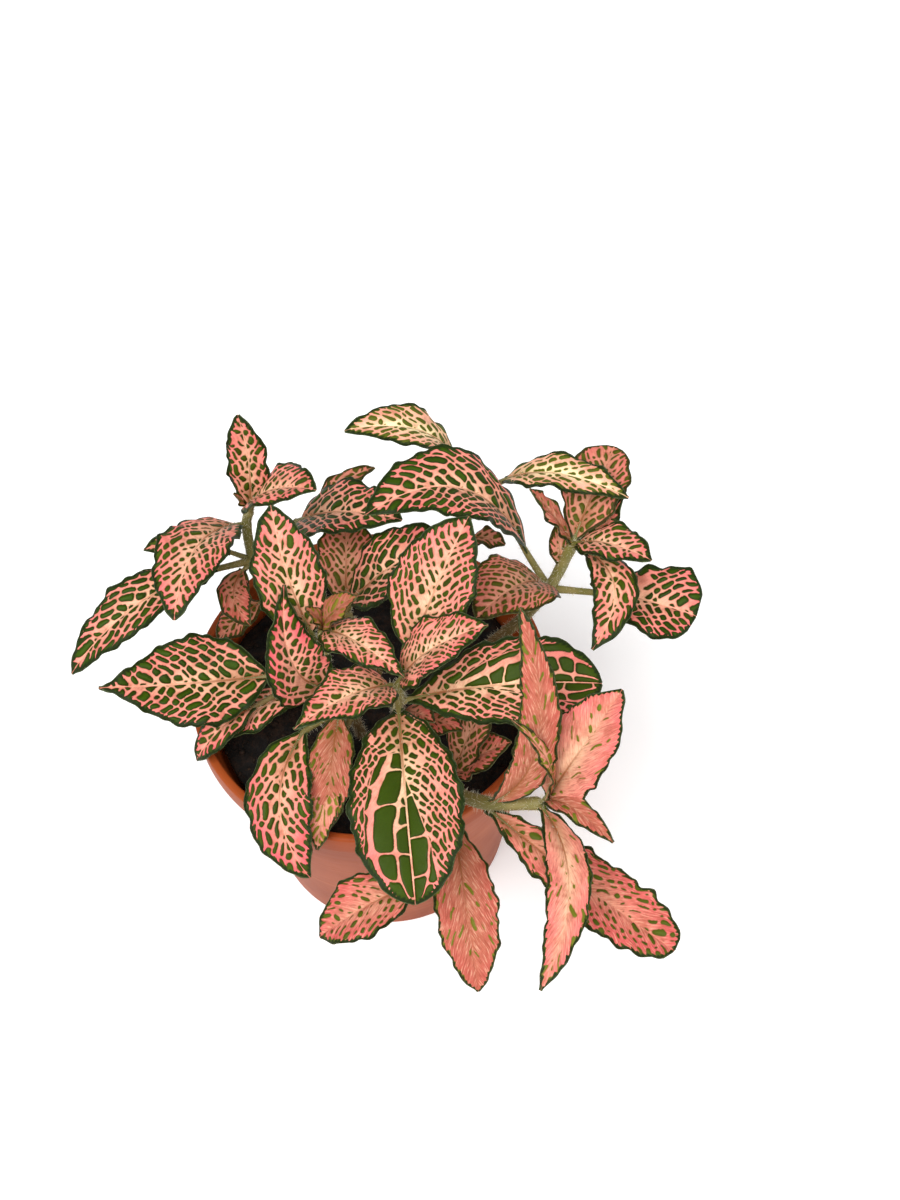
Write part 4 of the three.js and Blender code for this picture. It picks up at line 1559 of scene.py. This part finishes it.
def stem_grower(finishes: Finishes) -> Grower:
    """The tree that turns lines into round stems covered in hairs.

    Args:
        finishes: The plant's finishes.

    Returns:
        The grower.
    """
    grower = Grower("hairy_stems", {
        "Stem": ("Material", finishes.stem),
        "Hair": ("Material", finishes.hair),
        "Sides": ("Int", 14),
        "Hair Length": ("Float", 0.85 * MM),
        "Hair Radius": ("Float", 0.028 * MM),
        "Hairs Per Area": ("Float", 4.0e6),
        "Bare Below": ("Float", SOIL_TOP * MM),
        "Shortest": ("Float", 0.35),
        "Longest": ("Float", 1.15),
        "Seed": ("Int", 3),
    })
    tree, start = grower.tree, grower.start
    line = tree.add("GeometryNodeMeshToCurve", None, {0: start["Geometry"]}).outputs[0]
    radius = tree.add("GeometryNodeInputNamedAttribute", {"data_type": "FLOAT"}, {"Name": "stem_radius"})
    thick = tree.add("GeometryNodeSetCurveRadius", None, {"Curve": line, "Radius": radius.outputs[0]})
    circle = {"Resolution": start["Sides"], "Radius": 1.0}
    profile = tree.add("GeometryNodeCurvePrimitiveCircle", None, circle)
    tubes = tree.add("GeometryNodeCurveToMesh", None, {
        "Curve": thick.outputs[0], "Profile Curve": profile.outputs[0], "Fill Caps": True,
        "Scale": radius.outputs[0],
    }).outputs[0]
    height = tree.split(tree.add("GeometryNodeInputPosition").outputs[0])[2]
    above = height > Number(tree, start["Bare Below"])
    roots = grower.spread(tubes, "Hairs Per Area", Selection=above.socket)
    hair = tree.add("GeometryNodeMeshCone", {"fill_type": "NONE"}, {
        "Vertices": 3, "Side Segments": 2, "Radius Top": 0.0, "Radius Bottom": start["Hair Radius"],
        "Depth": start["Hair Length"],
    })
    tilt = grower.random((-0.55, -0.55, -0.45), (0.55, 0.55, 0.65), start["Seed"])
    lean = tree.add("ShaderNodeVectorMath", {"operation": "ADD"}, {0: roots["Normal"], 1: tilt})
    turn = tree.add("FunctionNodeAlignRotationToVector", {"axis": "Z"}, {"Vector": lean.outputs[0]})
    size = grower.random(start["Shortest"], start["Longest"])
    hairs = grower.copies(roots["Points"], hair.outputs["Mesh"], Rotation=turn.outputs[0], Scale=size)
    joined = tree.add("GeometryNodeJoinGeometry")
    for part in (grower.painted(hairs, "Hair"), grower.painted(tubes, "Stem")):
        tree.tree.links.new(part, joined.inputs[0])
    grower.end(joined.outputs[0])
    return grower


def crumb_grower(finishes: Finishes) -> Grower:
    """The tree that scatters crumbs of peat over the soil, most of them small.

    Args:
        finishes: The plant's finishes.

    Returns:
        The grower.
    """
    grower = Grower("peat_crumbs", {
        "Crumb": ("Material", finishes.crumb),
        "Crumbs Per Area": ("Float", 0.62e6),
        "Smallest": ("Float", 0.16 * MM),
        "Largest": ("Float", 0.85 * MM),
        "Seed": ("Int", 11),
    })
    tree, start = grower.tree, grower.start
    spots = grower.spread(start["Geometry"], "Crumbs Per Area")
    ball = tree.add("GeometryNodeMeshIcoSphere", None, {"Radius": 1.0, "Subdivisions": 1})
    low, high = Number(tree, start["Smallest"]), Number(tree, start["Largest"])
    length = low + (high - low) * Number(tree, grower.random(0.0, 1.0)) ** 3.0
    squash = grower.random((0.6, 0.5, 0.35), (1.25, 1.0, 0.9), seed=5)
    scale = tree.add("ShaderNodeVectorMath", {"operation": "SCALE"}, {0: squash, "Scale": length})
    turn = grower.random((0.0, 0.0, 0.0), (6.283, 6.283, 6.283), seed=9)
    crumbs = grower.copies(
        spots["Points"], ball.outputs["Mesh"], Rotation=turn, Scale=scale.outputs[0]
    )
    grower.end(grower.painted(crumbs, "Crumb"))
    return grower


def drain_grower(finishes: Finishes) -> Grower:
    """The tree that drills the ring of drainage holes through the pot's floor.

    Args:
        finishes: The plant's finishes.

    Returns:
        The grower.
    """
    grower = Grower("drainage_holes", {
        "Plastic": ("Material", finishes.pot),
        "Holes": ("Int", DRAIN_HOLES),
        "Hole Sides": ("Int", 32),
        "Hole Radius": ("Float", DRAIN_RADIUS * MM),
        "Circle Radius": ("Float", DRAIN_CIRCLE * MM),
        "Depth": ("Float", 3 * FLOOR * MM),
    })
    tree, start = grower.tree, grower.start
    circle = tree.add("GeometryNodeMeshCircle", {"fill_type": "NONE"}, {
        "Vertices": start["Holes"], "Radius": start["Circle Radius"],
    })
    drill = tree.add("GeometryNodeMeshCylinder", None, {
        "Vertices": start["Hole Sides"], "Radius": start["Hole Radius"], "Depth": start["Depth"],
    })
    drills = grower.copies(circle.outputs[0], drill.outputs["Mesh"])
    real = tree.add("GeometryNodeRealizeInstances", None, {0: drills})
    cut = tree.add("GeometryNodeMeshBoolean", {"operation": "DIFFERENCE", "solver": "EXACT"}, {
        "Mesh 1": start["Geometry"], "Mesh 2": real.outputs[0],
    })
    grower.end(grower.painted(cut.outputs[0], "Plastic"))
    return grower


# Sub-assemblies
@dataclass
class Pot:
    """The thin plastic nursery pot: a turned shell with a banded rim and a drilled floor."""

    sides: int = 144
    round_steps: int = 5
    recess_radius: float = 9.0
    recess_depth: float = 0.5
    recess_slope: float = 1.0
    crease: float = 0.12
    crease_below: float = 0.7
    band_foot: float = 0.15
    mouth_slope: tuple[float, float] = (0.1, 0.2)
    inner_wall_foot: tuple[float, float] = (0.2, 0.8)
    inner_floor_edge: float = 0.6
    sharp_from: float = 35.0

    def corner(self, middle: tuple[float, float], radius: float, first: float, last: float) -> list:
        """Points round a corner of the profile, from the first angle to the last, in degrees."""
        turns = np.radians(np.linspace(first, last, self.round_steps))
        return [(middle[0] + radius * np.cos(a), middle[1] + radius * np.sin(a)) for a in turns]

    def profile(self) -> list[tuple[float, float]]:
        """The wall's outline from the floor's middle, round the lip, and back inside.

        Returns:
            Radius and height of each corner.
        """
        band = POT_HEIGHT - RIM_BAND
        wall_top = RIM_RADIUS - RIM_STEP
        mouth = RIM_RADIUS - WALL - BAND_SLOPE
        inner_foot = FOOT_RADIUS - WALL
        line = [(0.0, self.recess_depth), (self.recess_radius, self.recess_depth)]
        line += [(self.recess_radius + self.recess_slope, 0.0)]
        line += self.corner((FOOT_RADIUS - FOOT_ROUND, FOOT_ROUND), FOOT_ROUND, -90, 0)
        line += [(wall_top - self.crease, band - self.crease_below), (wall_top, band - self.crease)]
        line += [(wall_top + self.band_foot, band)]
        line += self.corner((RIM_RADIUS - BAND_SLOPE, band + BAND_SLOPE), BAND_SLOPE, -80, 0)
        line += self.corner((RIM_RADIUS - LIP_ROUND, POT_HEIGHT - LIP_ROUND), LIP_ROUND, 0, 90)
        line += self.corner((mouth + LIP_ROUND, POT_HEIGHT - LIP_ROUND), LIP_ROUND, 90, 180)
        line += [(mouth - self.mouth_slope[0], band + self.mouth_slope[1])]
        line += [(wall_top - WALL, band - WALL)]
        line += [(inner_foot + self.inner_wall_foot[0], FLOOR + self.inner_wall_foot[1])]
        line += [(inner_foot - self.inner_floor_edge, FLOOR), (0.0, FLOOR)]
        return line

    def build(self) -> bpy.types.Object:
        """Turns the profile into the pot's shell.

        Returns:
            The shell, not yet drilled.
        """
        line = self.profile()
        points = [(0.0, 0.0, line[0][1])]
        for radius, height in line[1:-1]:
            points += ring(radius, height, self.sides)
        points.append((0.0, 0.0, line[-1][1]))
        faces = []
        rings = len(line) - 2
        for k in range(self.sides):
            after = (k + 1) % self.sides
            faces.append((0, 1 + after, 1 + k))
            for low in range(1, 1 + (rings - 1) * self.sides, self.sides):
                high = low + self.sides
                faces.append((low + k, low + after, high + after, high + k))
            top = 1 + (rings - 1) * self.sides
            faces.append((top + k, top + after, len(points) - 1))
        return new_piece("nursery_pot", np.array(points), faces)

    def dress(self, finishes: Finishes) -> bpy.types.Object:
        """Drills the floor, gives the plastic, and puts the pot on its body.

        Args:
            finishes: The plant's finishes.

        Returns:
            The pot.
        """
        piece = drain_grower(finishes).grow(self.build(), {})
        smooth(piece)
        piece.data.set_sharp_from_angle(angle=math.radians(self.sharp_from))
        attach(piece, BODY)
        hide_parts("pot")
        return piece


@dataclass
class Soil:
    """The peat in the pot: a lumpy domed body with crumbs on it."""

    rings: int = 70
    sides: int = 160
    seed: int = 7
    waves: tuple = ((9.0, 0.35), (4.2, 0.28), (2.1, 0.20), (1.1, 0.12))
    waves_each: int = 7
    calm_edge: float = 0.5
    foot_gap: float = 0.35

    def radius_at(self, height: float) -> float:
        """The soil's radius at a height, just inside the pot's wall."""
        slope = (RIM_RADIUS - RIM_STEP - FOOT_RADIUS) / (POT_HEIGHT - RIM_BAND)
        return FOOT_RADIUS + slope * height - WALL - SOIL_GAP

    def lumps(self, x: np.ndarray, y: np.ndarray) -> np.ndarray:
        """The height of the surface's lumps at places on it.

        Args:
            x: The places' x.
            y: The places' y.

        Returns:
            The height at each.
        """
        draw = np.random.default_rng(self.seed)
        height = np.zeros_like(x)
        for size, strength in self.waves:
            for _ in range(self.waves_each):
                turn, phase = draw.uniform(0, 2 * np.pi, 2)
                wave = np.sin(2 * np.pi * (x * np.cos(turn) + y * np.sin(turn)) / size + phase)
                height += strength * wave / math.sqrt(self.waves_each)
        return height

    def build(self) -> tuple[bpy.types.Object, bpy.types.Object]:
        """Builds the soil's body, and a bare copy of its top for the crumbs.

        Returns:
            The body and the copy.
        """
        top_radius = self.radius_at(SOIL_TOP)
        points = [(0.0, 0.0, SOIL_TOP + SOIL_DOME)]
        for number in range(1, self.rings + 1):
            share = number / self.rings
            height = SOIL_TOP + SOIL_DOME * (1 - share * share)
            points += ring(top_radius * share, height, self.sides)
        cloud = np.array(points)
        reach = np.hypot(cloud[:, 0], cloud[:, 1]) / top_radius
        cloud[:, 2] += self.lumps(cloud[:, 0], cloud[:, 1]) * (1 - self.calm_edge * reach ** 6)
        faces = []
        for k in range(self.sides):
            after = (k + 1) % self.sides
            faces.append((0, 1 + k, 1 + after))
            for near in range(1, 1 + (self.rings - 1) * self.sides, self.sides):
                far = near + self.sides
                faces.append((near + k, far + k, far + after, near + after))
        top_faces = list(faces)
        foot = FLOOR + self.foot_gap
        bottom = len(cloud)
        rim = 1 + (self.rings - 1) * self.sides
        scale = self.radius_at(foot) / top_radius
        ring_points = cloud[rim:rim + self.sides] * (scale, scale, 0) + (0, 0, foot)
        cloud = np.vstack([cloud, ring_points, [(0, 0, foot)]])
        for k in range(self.sides):
            after = (k + 1) % self.sides
            faces.append((rim + k, bottom + k, bottom + after, rim + after))
            faces.append((bottom + self.sides, bottom + after, bottom + k))
        body = new_piece("potting_soil", cloud, faces)
        cover = new_piece("peat_crumbs", cloud[:bottom], top_faces)
        return body, cover

    def dress(self, finishes: Finishes) -> list[bpy.types.Object]:
        """Scatters the crumbs, gives the peat its finish, and puts both on their body.

        Args:
            finishes: The plant's finishes.

        Returns:
            The soil and its crumbs.
        """
        body, cover = self.build()
        smooth(body)
        body.data.materials.append(finishes.soil)
        crumbs = crumb_grower(finishes).grow(cover, {})
        smooth(crumbs)
        for piece in (body, crumbs):
            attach(piece, BODY)
        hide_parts("soil")
        return [body, crumbs]


@dataclass
class LeafyShoot:
    """One shoot: all its blades as one piece, its stem, stalks and hairs as another."""

    shoot: Shoot
    number: int
    stem_steps: int = 9
    stem_taper: float = 0.12
    node_swell: float = 0.11
    node_length: float = 0.14
    tip_shares: tuple[float, float] = (0.85, 0.45)
    blades: list[Blade] = field(default_factory=list)

    def __post_init__(self) -> None:
        """Sets a blade on the stem for each leaf."""
        for k, leaf in enumerate(self.shoot.leaves):
            root = curve_points(self.shoot.path, np.array([leaf.at]))[0]
            self.blades.append(Blade(leaf, root, seed=11 + 19 * self.number + 7 * k))

    def build_blades(self, finishes: Finishes) -> bpy.types.Object:
        """Builds all the shoot's blades as one mesh with both faces' finishes.

        Args:
            finishes: The plant's finishes.

        Returns:
            The leaves.
        """
        clouds, faces, sides, values = [], [], [], {}
        start = 0
        for blade in self.blades:
            cloud, corners, under, found = blade.build()
            clouds.append(cloud)
            faces.append(corners + start)
            sides.append(under)
            start += len(cloud)
            for name, rows in found.items():
                values.setdefault(name, []).append(rows)
        name = self.shoot.name.replace("shoot", "leaves")
        piece = new_piece(name, np.vstack(clouds), np.vstack(faces))
        for name, rows in values.items():
            give_attribute(piece.data, name, np.vstack(rows))
        piece.data.materials.append(finishes.upper)
        piece.data.materials.append(finishes.under)
        piece.data.polygons.foreach_set("material_index", np.concatenate(sides).astype(np.int32))
        smooth(piece)
        return piece

    def stem_line(self) -> tuple[np.ndarray, np.ndarray]:
        """The stem's line and its radius at each point, swollen where leaves grow.

        Returns:
            The line's points and the radius at each.
        """
        joints = len(self.shoot.path) - 1
        places = np.linspace(0, joints, self.stem_steps * joints + 1)
        line = curve_points(self.shoot.path, places)
        radius = np.full(len(places), self.shoot.radius) * (1 - self.stem_taper * places / joints)
        for leaf in self.shoot.leaves:
            radius *= 1 + self.node_swell * np.exp(-((places - leaf.at) / self.node_length) ** 2)
        radius[-2:] *= self.tip_shares
        return line, radius

    def build_stems(self, grower: Grower) -> bpy.types.Object:
        """Builds the stem, the stalks and their hairs as one mesh.

        Args:
            grower: The tree that makes hairy stems.

        Returns:
            The stems.
        """
        lines = [self.stem_line()] + [blade.stalk_line() for blade in self.blades]
        points, radii, edges = [], [], []
        start = 0
        for line, radius in lines:
            points.append(line)
            radii.append(radius)
            steps = np.arange(start, start + len(line) - 1)
            edges.append(np.stack([steps, steps + 1], -1))
            start += len(line)
        name = self.shoot.name.replace("shoot", "stems")
        piece = new_piece(name, np.vstack(points), [], np.vstack(edges))
        give_attribute(piece.data, "stem_radius", np.concatenate(radii) * MM)
        grower.grow(piece, {"Seed": self.number})
        smooth(piece)
        return piece

    def dress(self, finishes: Finishes, grower: Grower) -> list[bpy.types.Object]:
        """Builds both pieces and puts them on their body.

        Args:
            finishes: The plant's finishes.
            grower: The tree that makes hairy stems.

        Returns:
            The two pieces.
        """
        leaves = self.build_blades(finishes)
        stems = self.build_stems(grower)
        for piece in (leaves, stems):
            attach(piece, BODY)
        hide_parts(self.shoot.name)
        return [leaves, stems]


@dataclass
class Studio:
    """The pale floor, the soft light and the camera."""

    floor_size: float = 3.0
    key_place: tuple[float, float, float] = (-0.50, -0.95, 1.95)
    key_size: float = 1.5
    key_power: float = 62.0
    fill_place: tuple[float, float, float] = (1.35, -0.60, 1.10)
    fill_size: float = 1.4
    fill_power: float = 8.0
    aim_height: float = 0.06
    world_strength: float = 0.38

    def floor(self) -> None:
        """Lays the floor that the pot stands on."""
        reach = self.floor_size / 2 / MM
        corners = np.array([(-1, -1, 0), (1, -1, 0), (1, 1, 0), (-1, 1, 0)]) * reach
        piece = new_piece("studio_floor", corners, np.array([[0, 1, 2, 3]]))
        piece.data.materials.append(FloorFinish().make())

    def lamp(self, name: str, place: tuple[float, float, float], size: float, power: float) -> None:
        """Hangs a soft square lamp that points at the plant.

        Args:
            name: The lamp's name.
            place: Where it hangs, in metres.
            size: Its side, in metres.
            power: Its power, in watts.
        """
        data = bpy.data.lights.new(name, "AREA")
        data.size = size
        data.energy = power
        lamp = bpy.data.objects.new(name, data)
        bpy.context.scene.collection.objects.link(lamp)
        away = unit(np.array(place) - np.array([0, 0, self.aim_height]))
        self.point(lamp, np.array(place), away, np.array([0.0, 1.0, 0.0]))

    @staticmethod
    def point(thing: bpy.types.Object, place: np.ndarray, back: np.ndarray, up: np.ndarray) -> None:
        """Places a lamp or camera, which look along their own -Z.

        Args:
            thing: The object.
            place: Where it stands, in metres.
            back: The way behind it.
            up: Roughly its way up.
        """
        right = unit(np.cross(up, back))
        above = np.cross(back, right)
        rows = np.eye(4)
        rows[:3, 0], rows[:3, 1], rows[:3, 2], rows[:3, 3] = right, above, back, place
        thing.matrix_world = Matrix(rows.tolist())

    def light(self) -> None:
        """Hangs the lamps and sets the pale surroundings."""
        self.lamp("key", self.key_place, self.key_size, self.key_power)
        self.lamp("fill", self.fill_place, self.fill_size, self.fill_power)
        world = bpy.data.worlds.new("studio")
        world.use_nodes = True
        background = world.node_tree.nodes["Background"]
        background.inputs["Color"].default_value = (1.0, 1.0, 1.0, 1.0)
        background.inputs["Strength"].default_value = self.world_strength
        bpy.context.scene.world = world
        bpy.context.scene.view_settings.view_transform = "Standard"

    def camera(self) -> None:
        """Stands the camera where the photograph was taken from."""
        tilt, roll = np.radians([CAMERA_ELEVATION, CAMERA_ROLL])
        back = np.array([0, -np.cos(tilt), np.sin(tilt)])
        place = (np.array([0, 0, POT_HEIGHT]) + back * CAMERA_DISTANCE_MM) * MM
        level = np.array([1.0, 0, 0])
        upright = np.cross(level, -back)
        right = level * np.cos(roll) + upright * np.sin(roll)
        above = -level * np.sin(roll) + upright * np.cos(roll)
        aside = (RIM_CENTRE_X_PX - FRAME_WIDTH_PX / 2) / FOCAL_PX
        below = (RIM_CENTRE_Y_PX - FRAME_HEIGHT_PX / 2) / FOCAL_PX
        look = unit(-back - aside * right + below * above)
        data = bpy.data.cameras.new("camera")
        data.sensor_width = SENSOR_MM
        data.lens = SENSOR_MM * FOCAL_PX / FRAME_HEIGHT_PX
        data.clip_start = 0.01
        camera = bpy.data.objects.new("camera", data)
        bpy.context.scene.collection.objects.link(camera)
        flat_right = unit(right - look * (right @ look))
        self.point(camera, place, -look, np.cross(flat_right, look))
        bpy.context.scene.camera = camera


def main() -> None:
    """Builds the pot, the soil and the shoots round the frame, then the studio."""
    logging.basicConfig(level=logging.INFO, format="%(name)s: %(message)s")
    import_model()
    finishes = Finishes()
    pieces = [Pot().dress(finishes)]
    pieces += Soil().dress(finishes)
    grower = stem_grower(finishes)
    for number, shoot in enumerate(SHOOTS):
        pieces += LeafyShoot(shoot, number).dress(finishes, grower)
    for piece in pieces:
        triangles = sum(len(face.vertices) - 2 for face in piece.data.polygons)
        LOG.info("%s: %d triangles", piece.name, triangles)
    studio = Studio()
    studio.floor()
    studio.light()
    studio.camera()


if __name__ == "__main__":
    main()
